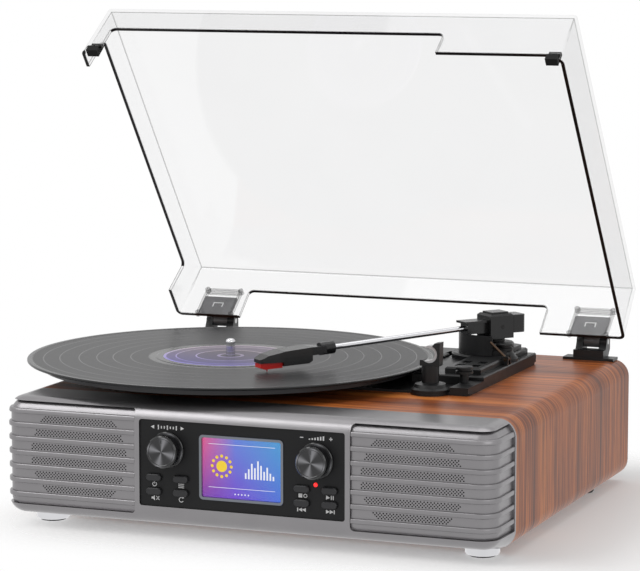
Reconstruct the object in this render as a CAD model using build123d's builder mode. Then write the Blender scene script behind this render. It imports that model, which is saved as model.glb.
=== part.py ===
"""Record player with an open clear lid, a bezel with two ribbed grilles, and a belt-driven turntable.

Millimetres. +X right, +Y back, +Z up. The origin is the centre of the cabinet's underside;
the four feet stand below it. The lid is modelled shut and then turned open about its hinge line.
"""
from build123d import *
from math import atan2, cos, degrees, hypot, radians, sin, sqrt
import os

os.makedirs("parts", exist_ok=True)

# Cabinet
cabinet_width = 370.0
cabinet_depth = 326.0
deck_height = 89.6
shell_wall = 9.0
edge_radius = 12.6
bezel_depth = 44.0
bezel_wall = 3.0
bezel_corner_radius = 15.0
lip_rise = 7.0
rear_panel_thickness = 3.0
rear_panel_inset = 2.0

bottom_seam_width = 1.2
bottom_seam_depth = 1.5
bottom_board_width = 292.0
bottom_board_margin = 9.0

# Clearances
fit_gap = 0.25
part_gap = 0.3
shaft_gap = 0.05

# Grilles
grille_inner_x = 80.7
grille_rim = 2.5
window_radius = 3.0
grille_low = 12.8
grille_high = deck_height - 2.8
rib_count = 7
rib_pitch = 10.0
rib_height = 3.6
rib_depth = 1.7
rib_proud_inset = 0.3
grille_skin = 2.6
grille_flange = 1.5
grille_centre_x = 125.0
hole_field_radius = 37.5
hole_pitch = 4.88
hole_row_pitch = 2.6
hole_size = 1.9

# Speakers
speaker_radius = 32.0
speaker_depth = 34.0
speaker_magnet_radius = 21.0

# Control fascia
fascia_width = 154.0
fascia_low = 19.1
fascia_high = deck_height - 9.3
fascia_mid = (fascia_low + fascia_high) / 2
fascia_recess = 1.2
fascia_thickness = 4.0
fascia_flange = 1.5
board_gap = 5.8
board_thickness = 1.6
control_board_width = 146.0
control_board_height = 56.0

# Display
display_width = 63.0
display_height = 45.6
display_centre_z = fascia_mid - 0.4
display_bar = 1.8
window_thickness = 1.2
display_proud = 0.6

# Knobs
knob_x = 55.7
knob_z = fascia_mid + 9.9
knob_radius = 11.4
knob_skirt_radius = 12.8
knob_skirt_height = 2.0
knob_height = 10.6
knob_shaft_radius = 3.0
knob_standoff = 0.4
encoder_size = 13.0

# Buttons
button_inner_x = 45.4
button_outer_x = 65.8
button_upper_z = fascia_mid - 10.1
button_lower_z = fascia_mid - 19.9
button_width = 11.2
button_height = 4.8
button_proud = 2.8
button_travel = 1.0
button_flange = 0.9
lamp_x = 55.1
lamp_z = fascia_mid - 6.9
lamp_radius = 1.5

# Feet
foot_height = 4.6
pad_height = 1.2
foot_radius = 12.0
foot_x = 163.4
front_foot_y = -cabinet_depth / 2 + 37.5
rear_foot_y = cabinet_depth / 2 - 53.0

# Turntable
spindle_x = -73.4
spindle_y = -10.0
record_radius = 150.8
record_thickness = 1.8
record_top = deck_height + 13.7
label_radius = 50.0
label_thickness = 0.2
mat_radius = 138.0
mat_thickness = 1.2
platter_radius = 140.0
platter_rim_height = 3.6
platter_web = 2.0
belt_ring_radius = 60.0
belt_ring_height = 5.0
belt_ring_wall = 3.0
platter_hub_radius = 9.0
spindle_radius = 3.5
record_hole_radius = 3.62
shaft_radius = 4.0
spindle_top = deck_height + 26.5
spindle_depth = 22.0
bush_radius = 7.0
motor_x = -13.4
motor_y = 52.0
motor_radius = 16.0
motor_height = 26.0
motor_shaft_radius = 1.0
pulley_radius = 5.0
pulley_flange = 1.0
belt_width = 2.0
belt_thickness = 0.8

# Mechanism plate
plate_thickness = 1.8
block_top = deck_height + 8.8
block_right = 124.5
block_rear = 117.5
block_front = -8.0
step_front = -43.0
step_left = 110.5
step_top = deck_height + 5.8
platter_clearance = 3.0
slot_x = 65.0
slot_y = 82.5
slot_length = 37.0
slot_width = 8.0
slider_length = 12.0
slider_top = deck_height + 10.8

# Tone arm
pivot_x = 103.0
pivot_y = 84.0
pivot_z = deck_height + 33.0
stylus_x = -19.0
stylus_y = -70.0
arm_slope = 0.0487
tube_radius = 2.0
tube_z_at_bracket = deck_height + 32.8
bracket_end = 28.0
bracket_half_width = 5.0
bracket_low = deck_height + 28.7
bracket_high = deck_height + 36.8
housing_front = 10.5
housing_back = 10.0
housing_half_width = 9.5
housing_low = deck_height + 24.3
housing_high = deck_height + 42.8
housing_wall = 2.0
weight_length = 12.0
weight_half_width = 7.5
collar_start = 141.5
collar_end = 153.0
collar_radius = 4.6
head_tip = 204.5
head_half_width = 8.0
tip_gap = 0.3
yoke_half_width = 5.5
arm_pin_radius = 1.5
arm_shaft_radius = 4.0

# Arm base and cueing
base_low_left = 92.0
base_low_right = 119.5
base_low_front = 0.0
base_low_rear = 112.0
base_low_top = deck_height + 13.4
base_mid_radius = 23.5
base_mid_top = deck_height + 16.9
turret_radius = 14.0
dial_x = 114.0
dial_y = 72.0
dial_radius = 6.4
dial_top = deck_height + 22.0
dial_cone_radius = 10.2
front_dial_x = 113.0
front_dial_y = -18.0
front_dial_top = deck_height + 17.6
turret_top = deck_height + 21.1
cue_wall_inner = 24.6
cue_wall_outer = 27.6
cue_wall_top = deck_height + 28.4
cue_stem_radius = 2.0
lever_x = 122.0
lever_y = 53.5
lever_z = deck_height + 13.0
lever_top_x = 109.0
lever_top_z = deck_height + 24.8
lever_radius = 1.0
lever_pin_radius = 1.4
lever_hub_half = 1.8
lever_ear_thickness = 2.0
lever_ear_top = deck_height + 15.2

# Arm rest
rest_x = 95.0
rest_y = -40.0
rest_base_radius = 14.0
rest_slot_z = deck_height + 28.7
rest_column_radius = 6.2
rest_head_top = deck_height + 37.4
rest_head_depth = 8.0
clip_outer = 6.2
clip_inner = 4.2
clip_mouth = 100.0

# Lid
lid_width = 374.0
lid_length = 279.5
lid_height = 52.7
lid_wall = 2.5
lid_draft = 2.9
lid_corner_radius = 5.0
lid_top_radius = 3.0
lid_rim_z = deck_height + 0.8
lid_rear_y = 148.0
lid_open_angle = 52.3
side_notch_front = 263.0
side_notch_rear = 28.0
side_notch_height = 30.0
front_notch_left = -172.0
front_notch_right = 91.0
front_notch_height = 27.0
front_rim_lift = 5.0
rear_notch_left = -132.0
rear_notch_right = 119.0
rear_notch_height = 28.0
notch_radius = 4.0
bumper_length = 9.0

# Hinges
hinge_x = 156.0
hinge_y = 164.4
hinge_z = deck_height + 13.0
hinge_pin_radius = 2.0
knuckle_radius = 4.8
leaf_width = 28.0
leaf_thickness = 2.0
leaf_knuckle_half = 6.0
base_knuckle_half = 12.0
hinge_flange_width = 40.0
hinge_flange_thickness = 2.0
leaf_low_z = deck_height + 3.8
leaf_high_z = deck_height + 23.4

# Places that follow from the sizes above
front_y = -cabinet_depth / 2
rear_y = cabinet_depth / 2
bezel_rear = front_y + bezel_depth
fascia_front = front_y + fascia_recess
fascia_back = fascia_front + fascia_thickness
board_front = fascia_back + board_gap
record_low = record_top - record_thickness
platter_top = record_low - mat_thickness
platter_low = platter_top - platter_rim_height
belt_ring_low = platter_top - platter_web - belt_ring_height
plate_top = deck_height + plate_thickness
grille_centre_z = (grille_low + grille_high) / 2
bottom_board_depth = rear_y - bezel_rear - 2 * bottom_board_margin
arm_dx = stylus_x - pivot_x
arm_dy = stylus_y - pivot_y
arm_length = hypot(arm_dx, arm_dy)
arm_dir = Vector(arm_dx / arm_length, arm_dy / arm_length, 0)
arm_side = Vector(-arm_dir.Y, arm_dir.X, 0)
hinge_line = Axis((0, hinge_y, hinge_z), (1, 0, 0))


def bezel_form(inset):
    """The bezel's outer form, drawn in by inset on every face but the rear one."""
    depth = bezel_depth - inset
    mid_y = bezel_rear - depth / 2
    front_z = inset + lip_rise * depth / bezel_depth
    with BuildPart() as form:
        with BuildSketch(Plane.XY) as plan:
            with Locations((0, mid_y)):
                Rectangle(cabinet_width - 2 * inset, depth)
            fillet(plan.vertices().group_by(Axis.Y)[0], bezel_corner_radius - inset)
        extrude(amount=deck_height)
        with BuildSketch(Plane.YZ):
            with BuildLine():
                Polyline(
                    (bezel_rear, inset),
                    (bezel_rear - depth, front_z),
                    (bezel_rear - depth, deck_height - inset),
                    (bezel_rear, deck_height - inset),
                    close=True,
                )
            make_face()
        extrude(amount=cabinet_width, both=True, mode=Mode.INTERSECT)
        rims = form.faces().sort_by(Axis.Z)[0].edges() + form.faces().sort_by(Axis.Z)[-1].edges()
        fillet([edge for edge in rims if edge.center().Y < bezel_rear - 0.01], edge_radius - inset)
    return form.part


def window_block(grow):
    """The space of the right grille's window, grown on every edge by grow."""
    with BuildPart() as block:
        with BuildSketch(Plane.XZ.offset(-(bezel_rear - grille_rim + grow))) as opening:
            with Locations(((grille_inner_x - grow + cabinet_width) / 2, grille_centre_z)):
                Rectangle(cabinet_width - grille_inner_x + grow, grille_high - grille_low + 2 * grow)
            fillet(opening.vertices().group_by(Axis.X)[0], window_radius + grow)
        extrude(amount=cabinet_depth)
    return block.part


def arm_level(z):
    """A level plane at the arm's pivot, with its X along the arm towards the stylus."""
    return Plane(origin=(pivot_x, pivot_y, z), x_dir=arm_dir, z_dir=(0, 0, 1))


def arm_upright():
    """The upright plane through the arm, with X along the arm and Y up."""
    return Plane(origin=(pivot_x, pivot_y, 0), x_dir=arm_dir, z_dir=-arm_side)


def tube_z(reach):
    """Height of the arm tube's centre line at that reach from the pivot."""
    return tube_z_at_bracket - (reach - bracket_end) * arm_slope


def opened(shut_part):
    """A lid piece, turned from the shut pose to the open one."""
    return shut_part.rotate(hinge_line, -lid_open_angle)


# Cabinet shell: one wrapped veneered sleeve, open at the front and rear
with BuildPart() as cabinet_shell:
    with BuildSketch(Plane.XZ.offset(-rear_y)):
        with Locations((0, deck_height / 2)):
            RectangleRounded(cabinet_width, deck_height, edge_radius)
    extrude(amount=cabinet_depth - bezel_depth)
    with BuildSketch(Plane.XZ.offset(-rear_y)):
        with Locations((0, deck_height / 2)):
            RectangleRounded(cabinet_width - 2 * shell_wall, deck_height - 2 * shell_wall, 4)
    extrude(amount=cabinet_depth - bezel_depth, mode=Mode.SUBTRACT)
    with BuildSketch(Plane.XY.offset(deck_height - shell_wall)):
        with Locations(((spindle_x + motor_x) / 2, (spindle_y + motor_y) / 2)):
            RectangleRounded(130, 120, 10)
        with Locations((pivot_x, pivot_y)):
            Circle(12)
    extrude(amount=shell_wall, mode=Mode.SUBTRACT)
    with BuildSketch(Plane.XY):
        with Locations((0, (bezel_rear + rear_y) / 2)):
            Rectangle(bottom_board_width + 2 * bottom_seam_width, bottom_board_depth + 2 * bottom_seam_width)
            Rectangle(bottom_board_width, bottom_board_depth, mode=Mode.SUBTRACT)
    extrude(amount=bottom_seam_depth, mode=Mode.SUBTRACT)
cabinet_shell.part.label = "cabinet_shell"
export_step(cabinet_shell.part, "parts/cabinet_shell.step")

# Front bezel: a moulded frame that wraps both front corners, with three windows
bezel_outside = bezel_form(0)
bezel_inside = bezel_form(bezel_wall)
right_window = window_block(0)
left_window = mirror(right_window, about=Plane.YZ)

with BuildPart() as front_bezel:
    add(bezel_outside)
    add(bezel_inside, mode=Mode.SUBTRACT)
    with BuildSketch(Plane.XZ.offset(-front_y)):
        with Locations((0, (fascia_low + fascia_high) / 2)):
            RectangleRounded(fascia_width, fascia_high - fascia_low, 2)
    extrude(amount=bezel_wall + 1, both=True, mode=Mode.SUBTRACT)
    add(right_window, mode=Mode.SUBTRACT)
    add(left_window, mode=Mode.SUBTRACT)
front_bezel.part.label = "front_bezel"
export_step(front_bezel.part, "parts/front_bezel.step")

# Grilles: ribs that wrap the corner, sunk bands between them, and a round field of holes
rib_levels = [grille_centre_z + rib_pitch * (n - (rib_count - 1) / 2) for n in range(rib_count)]
band_levels = [grille_centre_z + rib_pitch * (n - (rib_count - 2) / 2) for n in range(rib_count - 1)]
hole_places = []
for band in band_levels:
    for row in (-0.5, 0.5):
        z = band + row * hole_row_pitch
        shift = 0.5 if row > 0 else 0
        for step in range(-9, 10):
            x = (step + shift) * hole_pitch
            if hypot(x, z - grille_centre_z) < hole_field_radius:
                hole_places.append((grille_centre_x + x, z))

rib_surface = bezel_form(rib_proud_inset)
band_surface = bezel_form(rib_proud_inset + rib_depth)
grille_inside = bezel_form(rib_proud_inset + rib_depth + grille_skin)
grille_window = window_block(-fit_gap)
flange_window = window_block(grille_flange)

with BuildPart() as grille_ribs:
    add(rib_surface)
    with BuildSketch(Plane.XZ.offset(-bezel_rear)):
        with Locations([(cabinet_width / 2, z) for z in rib_levels]):
            Rectangle(cabinet_width, rib_height)
    extrude(amount=2 * bezel_depth, mode=Mode.INTERSECT)

with BuildPart() as grille_back:
    add(bezel_inside)
    add(flange_window, mode=Mode.INTERSECT)

with BuildPart() as right_grille:
    add(band_surface)
    add(grille_ribs.part)
    add(grille_window, mode=Mode.INTERSECT)
    add(grille_back.part)
    add(grille_inside, mode=Mode.SUBTRACT)
    with BuildSketch(Plane.XZ.offset(-front_y)):
        with Locations(hole_places):
            Rectangle(hole_size, hole_size, rotation=45)
    extrude(amount=-3 * grille_skin, mode=Mode.SUBTRACT)
right_grille.part.label = "right_grille"
export_step(right_grille.part, "parts/right_grille.step")

with BuildPart() as left_grille:
    add(mirror(right_grille.part, about=Plane.YZ))
left_grille.part.label = "left_grille"
export_step(left_grille.part, "parts/left_grille.step")

# Speakers: basket, cone and magnet as one turned driver behind each grille
speaker_front = front_y + rib_proud_inset + rib_depth + grille_skin + 0.6
with BuildPart() as right_speaker:
    with BuildSketch(Plane.XY.move(Location((grille_centre_x, speaker_front, grille_centre_z)))):
        with BuildLine():
            Polyline(
                (0, 8),
                (9, 6),
                (speaker_radius - 5, 1.5),
                (speaker_radius - 5, 0),
                (speaker_radius, 0),
                (speaker_radius, 2.5),
                (speaker_radius - 3, 4),
                (speaker_magnet_radius, speaker_depth * 0.55),
                (speaker_magnet_radius, speaker_depth),
                (0, speaker_depth),
                close=True,
            )
        make_face()
    revolve(axis=Axis((grille_centre_x, speaker_front, grille_centre_z), (0, 1, 0)))
right_speaker.part.label = "right_speaker"
export_step(right_speaker.part, "parts/right_speaker.step")

with BuildPart() as left_speaker:
    add(mirror(right_speaker.part, about=Plane.YZ))
left_speaker.part.label = "left_speaker"
export_step(left_speaker.part, "parts/left_speaker.step")

# Control fascia: a panel in the bezel's middle window, with a flange behind it and posts for the board
button_places = []
for z in (button_upper_z, button_lower_z):
    for x in (-button_outer_x, -button_inner_x, button_inner_x, button_outer_x):
        button_places.append((x, z))
knob_places = [(-knob_x, knob_z), (knob_x, knob_z)]
flange_low = fascia_low - fascia_flange
flange_high = deck_height - edge_radius - fit_gap
post_x = control_board_width / 2 - 3
post_z = control_board_height / 2 - 2.2

with BuildPart() as control_fascia:
    with BuildSketch(Plane.XZ.offset(-fascia_front)):
        with Locations((0, fascia_mid)):
            RectangleRounded(fascia_width - 2 * fit_gap, fascia_high - fascia_low - 2 * fit_gap, 2)
    extrude(amount=-fascia_thickness)
    with BuildSketch(Plane.XZ.offset(-(front_y + bezel_wall))):
        with Locations((0, (flange_low + flange_high) / 2)):
            Rectangle(fascia_width + 2 * fascia_flange, flange_high - flange_low)
    extrude(amount=-(fascia_back - front_y - bezel_wall))
    with BuildSketch(Plane.XZ.offset(-fascia_back)):
        with Locations((0, fascia_mid)):
            with GridLocations(2 * post_x, 2 * post_z, 2, 2):
                Circle(1.8)
    extrude(amount=-board_gap)
    with BuildSketch(Plane.XZ.offset(-fascia_front)):
        with Locations((0, display_centre_z)):
            RectangleRounded(display_width + 2 * fit_gap, display_height + 2 * fit_gap, 3 + fit_gap)
        with Locations(button_places):
            SlotOverall(button_width + 2 * fit_gap, button_height + 2 * fit_gap)
        with Locations(knob_places):
            Circle(knob_shaft_radius + 2 * fit_gap)
        with Locations((lamp_x, lamp_z)):
            Circle(lamp_radius + fit_gap)
    extrude(amount=-fascia_thickness, mode=Mode.SUBTRACT)
control_fascia.part.label = "control_fascia"
export_step(control_fascia.part, "parts/control_fascia.step")

# Display: a thin frame, a clear window in it and the module behind
frame_front = fascia_front - display_proud
window_width = display_width - 2 * display_bar - 2 * fit_gap
window_height = display_height - 2 * display_bar - 2 * fit_gap

with BuildPart() as display_frame:
    with BuildSketch(Plane.XZ.offset(-frame_front)):
        with Locations((0, display_centre_z)):
            RectangleRounded(display_width, display_height, 3)
            RectangleRounded(
                display_width - 2 * display_bar, display_height - 2 * display_bar, 1.5, mode=Mode.SUBTRACT
            )
    extrude(amount=-(fascia_back - frame_front))
display_frame.part.label = "display_frame"
export_step(display_frame.part, "parts/display_frame.step")

with BuildPart() as display_window:
    with BuildSketch(Plane.XZ.offset(-(frame_front + 0.3))):
        with Locations((0, display_centre_z)):
            RectangleRounded(window_width, window_height, 1.4)
    extrude(amount=-window_thickness)
display_window.part.label = "display_window"
export_step(display_window.part, "parts/display_window.step")

with BuildPart() as display_module:
    with BuildSketch(Plane.XZ.offset(-(frame_front + 0.3 + window_thickness))):
        with Locations((0, display_centre_z)):
            RectangleRounded(window_width, window_height, 1.4)
    extrude(amount=-(fascia_back - frame_front - 0.3 - window_thickness))
    with BuildSketch(Plane.XZ.offset(-fascia_back)):
        with Locations((0, display_centre_z)):
            Rectangle(display_width + 4, display_height + 4)
    extrude(amount=-board_gap)
display_module.part.label = "display_module"
export_step(display_module.part, "parts/display_module.step")

# Status lamp: a domed lens on a stem that stands on the board
with BuildPart() as status_lamp:
    with BuildSketch(Plane.XZ.offset(-(fascia_front - 0.5))):
        with Locations((lamp_x, lamp_z)):
            Circle(lamp_radius)
    extrude(amount=-(board_front - fascia_front + 0.5))
    fillet(status_lamp.edges().filter_by(GeomType.CIRCLE).group_by(Axis.Y)[0], 0.6)
status_lamp.part.label = "status_lamp"
export_step(status_lamp.part, "parts/status_lamp.step")

# Control board, with one key switch behind each button
switch_top = fascia_back + part_gap + button_flange + button_travel + part_gap
with BuildPart() as control_board:
    with BuildSketch(Plane.XZ.offset(-board_front)):
        with Locations((0, fascia_mid)):
            Rectangle(control_board_width, control_board_height)
    extrude(amount=-board_thickness)
    with BuildSketch(Plane.XZ.offset(-switch_top)):
        with Locations(button_places):
            Rectangle(6, 6)
    extrude(amount=-(board_front - switch_top))
control_board.part.label = "control_board"
export_step(control_board.part, "parts/control_board.step")

# Encoders: two squat bodies between the fascia and the board
with BuildPart() as encoders:
    with BuildSketch(Plane.XZ.offset(-fascia_back)):
        with Locations(knob_places):
            Rectangle(encoder_size, encoder_size)
    extrude(amount=-board_gap)
    with BuildSketch(Plane.XZ.offset(-fascia_back)):
        with Locations(knob_places):
            Circle(knob_shaft_radius + shaft_gap)
    extrude(amount=-(board_gap - 1), mode=Mode.SUBTRACT)
encoders.part.label = "encoders"
export_step(encoders.part, "parts/encoders.step")

# Knobs: a skirt, a drum with a bevelled rim, a shallow dish in the face and an index notch
knob_back = fascia_front - knob_standoff
knob_face = knob_back - knob_height
shaft_end = fascia_back + board_gap - 1 - part_gap


def knob_body(x):
    """A turned knob on its shaft's axis at that X."""
    with BuildPart() as body:
        with BuildSketch(Plane(origin=(x, knob_back, knob_z), x_dir=(1, 0, 0), z_dir=(0, 0, 1))):
            with BuildLine():
                Polyline(
                    (0, 0),
                    (knob_skirt_radius, 0),
                    (knob_skirt_radius, -knob_skirt_height + 0.5),
                    (knob_skirt_radius - 0.5, -knob_skirt_height),
                    (knob_radius, -knob_skirt_height),
                    (knob_radius, -knob_height + 0.8),
                    (knob_radius - 0.8, -knob_height),
                    (knob_radius - 1.8, -knob_height),
                    (knob_radius - 2.2, -knob_height + 0.3),
                    (0, -knob_height + 0.3),
                    close=True,
                )
            make_face()
        revolve(axis=Axis((x, knob_back, knob_z), (0, 1, 0)))
        with BuildSketch(Plane.XZ.offset(-knob_back)):
            with Locations((x, knob_z)):
                Circle(knob_shaft_radius + shaft_gap)
        extrude(amount=knob_height - 3, mode=Mode.SUBTRACT)
        with BuildSketch(Plane.XZ.offset(-knob_face)):
            with Locations((x, knob_z + knob_radius - 4)):
                Rectangle(0.8, 2.4)
        extrude(amount=-0.7, mode=Mode.SUBTRACT)
    return body.part


def knob_shaft(x):
    """The encoder's shaft, from inside the knob to inside the encoder."""
    with BuildPart() as shaft:
        with BuildSketch(Plane.XZ.offset(-shaft_end)):
            with Locations((x, knob_z)):
                Circle(knob_shaft_radius)
        extrude(amount=shaft_end - knob_back + knob_height - 3 - part_gap)
    return shaft.part


with BuildPart() as tune_knob:
    add(knob_body(-knob_x))
tune_knob.part.label = "tune_knob"
export_step(tune_knob.part, "parts/tune_knob.step")

with BuildPart() as tune_shaft:
    add(knob_shaft(-knob_x))
tune_shaft.part.label = "tune_shaft"
export_step(tune_shaft.part, "parts/tune_shaft.step")

with BuildPart() as volume_knob:
    add(knob_body(knob_x))
volume_knob.part.label = "volume_knob"
export_step(volume_knob.part, "parts/volume_knob.step")

with BuildPart() as volume_shaft:
    add(knob_shaft(knob_x))
volume_shaft.part.label = "volume_shaft"
export_step(volume_shaft.part, "parts/volume_shaft.step")

# Buttons: eight pills, each with a flange that keeps it behind the fascia
for number, (x, z) in enumerate(button_places, start=1):
    with BuildPart() as button:
        with BuildSketch(Plane.XZ.offset(-(fascia_front - button_proud))):
            with Locations((x, z)):
                SlotOverall(button_width, button_height)
        extrude(amount=-(button_proud + fascia_thickness + part_gap))
        chamfer(button.faces().sort_by(Axis.Y)[0].edges(), 0.5)
        with BuildSketch(Plane.XZ.offset(-(fascia_back + part_gap))):
            with Locations((x, z)):
                Rectangle(button_width + 1.6, button_height + 1.6)
        extrude(amount=-button_flange)
    button.part.label = "button_" + str(number)
    export_step(button.part, "parts/button_" + str(number) + ".step")

# Feet: two bright cups in front, two dark ones behind, a pad under each
front_feet = [(-foot_x, front_foot_y), (foot_x, front_foot_y)]
rear_feet = [(-foot_x, rear_foot_y), (foot_x, rear_foot_y)]
cup_height = foot_height - pad_height

with BuildPart() as front_foot_cups:
    with BuildSketch(Plane.XY):
        with Locations(front_feet):
            Circle(foot_radius)
    extrude(amount=-cup_height)
    chamfer(front_foot_cups.faces().group_by(Axis.Z)[0].edges(), 1)
    with BuildSketch(Plane.XY):
        with Locations(front_feet):
            Circle(foot_radius)
    extrude(amount=lip_rise)
    with BuildSketch(Plane.YZ):
        with BuildLine():
            Polyline(
                (front_y, lip_rise),
                (bezel_rear, 0),
                (bezel_rear + bezel_depth, 0),
                (bezel_rear + bezel_depth, -foot_height),
                (front_y, -foot_height),
                close=True,
            )
        make_face()
    extrude(amount=cabinet_width, both=True, mode=Mode.INTERSECT)
front_foot_cups.part.label = "front_foot_cups"
export_step(front_foot_cups.part, "parts/front_foot_cups.step")

with BuildPart() as rear_foot_cups:
    with BuildSketch(Plane.XY):
        with Locations(rear_feet):
            Circle(foot_radius - 2)
    extrude(amount=-cup_height)
rear_foot_cups.part.label = "rear_foot_cups"
export_step(rear_foot_cups.part, "parts/rear_foot_cups.step")

with BuildPart() as foot_pads:
    with BuildSketch(Plane.XY.offset(-cup_height)):
        with Locations(front_feet + rear_feet):
            Circle(foot_radius - 3)
    extrude(amount=-pad_height)
foot_pads.part.label = "foot_pads"
export_step(foot_pads.part, "parts/foot_pads.step")

# Rear panel with its sockets and screws
panel_back = rear_y - rear_panel_inset
panel_front = panel_back - rear_panel_thickness
panel_width = cabinet_width - 2 * shell_wall - 2 * fit_gap
panel_height = deck_height - 2 * shell_wall - 2 * fit_gap
socket_places = [(x, 40.0) for x in (-20.0, 0.0, 20.0)]
inlet_place = (60.0, 40.0)
screw_x = panel_width / 2 - 8
screw_z = panel_height / 2 - 8

with BuildPart() as rear_panel:
    with BuildSketch(Plane.XZ.offset(-panel_back)):
        with Locations((0, deck_height / 2)):
            RectangleRounded(panel_width, panel_height, 4)
        with Locations(socket_places + [inlet_place]):
            Circle(4.5 + fit_gap, mode=Mode.SUBTRACT)
        with Locations((0, deck_height / 2)):
            with GridLocations(2 * screw_x, 2 * screw_z, 2, 2):
                Circle(1.8, mode=Mode.SUBTRACT)
        with Locations((-90, deck_height / 2)):
            with GridLocations(8, 9, 8, 4):
                Rectangle(4, 5, mode=Mode.SUBTRACT)
    extrude(amount=rear_panel_thickness)
    with BuildSketch(Plane.XZ.offset(-panel_front)):
        with Locations((0, deck_height / 2)):
            with GridLocations(2 * screw_x, 2 * screw_z, 2, 2):
                Circle(4)
                Circle(1.5, mode=Mode.SUBTRACT)
    extrude(amount=8)
rear_panel.part.label = "rear_panel"
export_step(rear_panel.part, "parts/rear_panel.step")

with BuildPart() as rear_sockets:
    with BuildSketch(Plane.XZ.offset(-(panel_back + 3))):
        with Locations(socket_places + [inlet_place]):
            Circle(4.5)
            Circle(1.8, mode=Mode.SUBTRACT)
    extrude(amount=rear_panel_thickness + 3)
    with BuildSketch(Plane.XZ.offset(-panel_front)):
        with Locations(socket_places + [inlet_place]):
            Rectangle(11, 11)
    extrude(amount=10)
rear_sockets.part.label = "rear_sockets"
export_step(rear_sockets.part, "parts/rear_sockets.step")

with BuildPart() as case_screws:
    with BuildSketch(Plane.XZ.offset(-(panel_back + 1.4))):
        with Locations((0, deck_height / 2)):
            with GridLocations(2 * screw_x, 2 * screw_z, 2, 2):
                Circle(3.2)
    extrude(amount=1.4)
    with BuildSketch(Plane.XZ.offset(-panel_back)):
        with Locations((0, deck_height / 2)):
            with GridLocations(2 * screw_x, 2 * screw_z, 2, 2):
                Circle(1.45)
    extrude(amount=rear_panel_thickness + 6)
    with BuildSketch(Plane.XZ.offset(-(panel_back + 1.4))):
        with Locations((0, deck_height / 2)):
            with GridLocations(2 * screw_x, 2 * screw_z, 2, 2):
                Rectangle(3.6, 0.8)
                Rectangle(0.8, 3.6)
    extrude(amount=0.7, mode=Mode.SUBTRACT)
case_screws.part.label = "case_screws"
export_step(case_screws.part, "parts/case_screws.step")

# Main board on four posts on the cabinet's floor
board_z = shell_wall + 8
with BuildPart() as main_board:
    with BuildSketch(Plane.XY.offset(board_z)):
        with Locations((0, 70)):
            Rectangle(130, 90)
    extrude(amount=board_thickness)
    with BuildSketch(Plane.XY.offset(shell_wall)):
        with Locations((0, 70)):
            with GridLocations(118, 78, 2, 2):
                Circle(3)
    extrude(amount=board_z - shell_wall)
    with BuildSketch(Plane.XY.offset(board_z + board_thickness)):
        with Locations((-35, 60)):
            Rectangle(26, 18)
        with Locations((20, 55)):
            Rectangle(14, 14)
        with Locations((45, 90), (30, 90), (15, 90)):
            Circle(5)
    extrude(amount=10)
main_board.part.label = "main_board"
export_step(main_board.part, "parts/main_board.step")



def round_dial(x, y, low, top, radius):
    """A round dial of two thin discs on a stem, about an upright axis at that place."""
    with BuildPart() as dial:
        with BuildSketch(Plane(origin=(x, y, 0), x_dir=(1, 0, 0), z_dir=(0, -1, 0))):
            with BuildLine():
                Polyline(
                    (0, low),
                    (radius / 2, low),
                    (radius / 2, top - 5.2),
                    (radius, top - 5.2),
                    (radius, top - 3.4),
                    (radius * 0.8, top - 3.0),
                    (radius * 0.8, top - 2.2),
                    (radius, top - 1.8),
                    (radius, top - 0.6),
                    (radius - 0.6, top),
                    (0, top),
                    close=True,
                )
            make_face()
        revolve(axis=Axis((x, y, 0), (0, 0, 1)))
    return dial.part


front_dial = round_dial(front_dial_x, front_dial_y, plate_top, front_dial_top, dial_radius)
rear_dial = round_dial(dial_x, dial_y, block_top, dial_top, dial_radius)

# Mechanism plate: a thin tray under the platter and a raised block under the arm, cut clear of the platter
with BuildPart() as mechanism_plate:
    with BuildSketch(Plane.XY.offset(deck_height)) as tray:
        with BuildLine():
            Polyline(
                (29, step_front),
                (-40, -90),
                (-110, -90),
                (-150, -40),
                (-150, 40),
                (-110, 80),
                (10, block_rear),
                (block_right, block_rear),
                (block_right, step_front),
                close=True,
            )
        make_face()
        fillet(tray.vertices(), 4)
        with Locations((rest_x, rest_y)):
            Circle(rest_base_radius + 0.5)
    extrude(amount=plate_thickness)
    with BuildSketch(Plane.XY.offset(plate_top)):
        with Locations(((block_right - 10) / 2, (block_front + block_rear) / 2)):
            Rectangle(block_right + 10, block_rear - block_front)
        with Locations((spindle_x, spindle_y)):
            Circle(platter_radius + platter_clearance, mode=Mode.SUBTRACT)
    extrude(amount=block_top - plate_top)
    chamfer(mechanism_plate.faces().sort_by(Axis.Z)[-1].edges(), 0.8)
    with BuildSketch(Plane.XY.offset(plate_top)):
        with Locations(((step_left + block_right) / 2, (step_front + block_front + 1) / 2)):
            Rectangle(block_right - step_left, block_front + 1 - step_front)
    extrude(amount=step_top - plate_top)
    add(front_dial)
    with BuildSketch(Plane.XY.offset(plate_top)):
        with Locations((slot_x, slot_y)):
            RectangleRounded(slot_width, slot_length, 1.5)
    extrude(amount=block_top - plate_top, mode=Mode.SUBTRACT)
    with BuildSketch(Plane.XY.offset(deck_height)):
        with Locations((spindle_x, spindle_y)):
            Circle(bush_radius)
        with Locations((motor_x, motor_y)):
            Circle(3)
        with Locations((pivot_x, pivot_y)):
            Circle(9)
    extrude(amount=block_top - deck_height, mode=Mode.SUBTRACT)
mechanism_plate.part.label = "mechanism_plate"
export_step(mechanism_plate.part, "parts/mechanism_plate.step")

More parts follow.
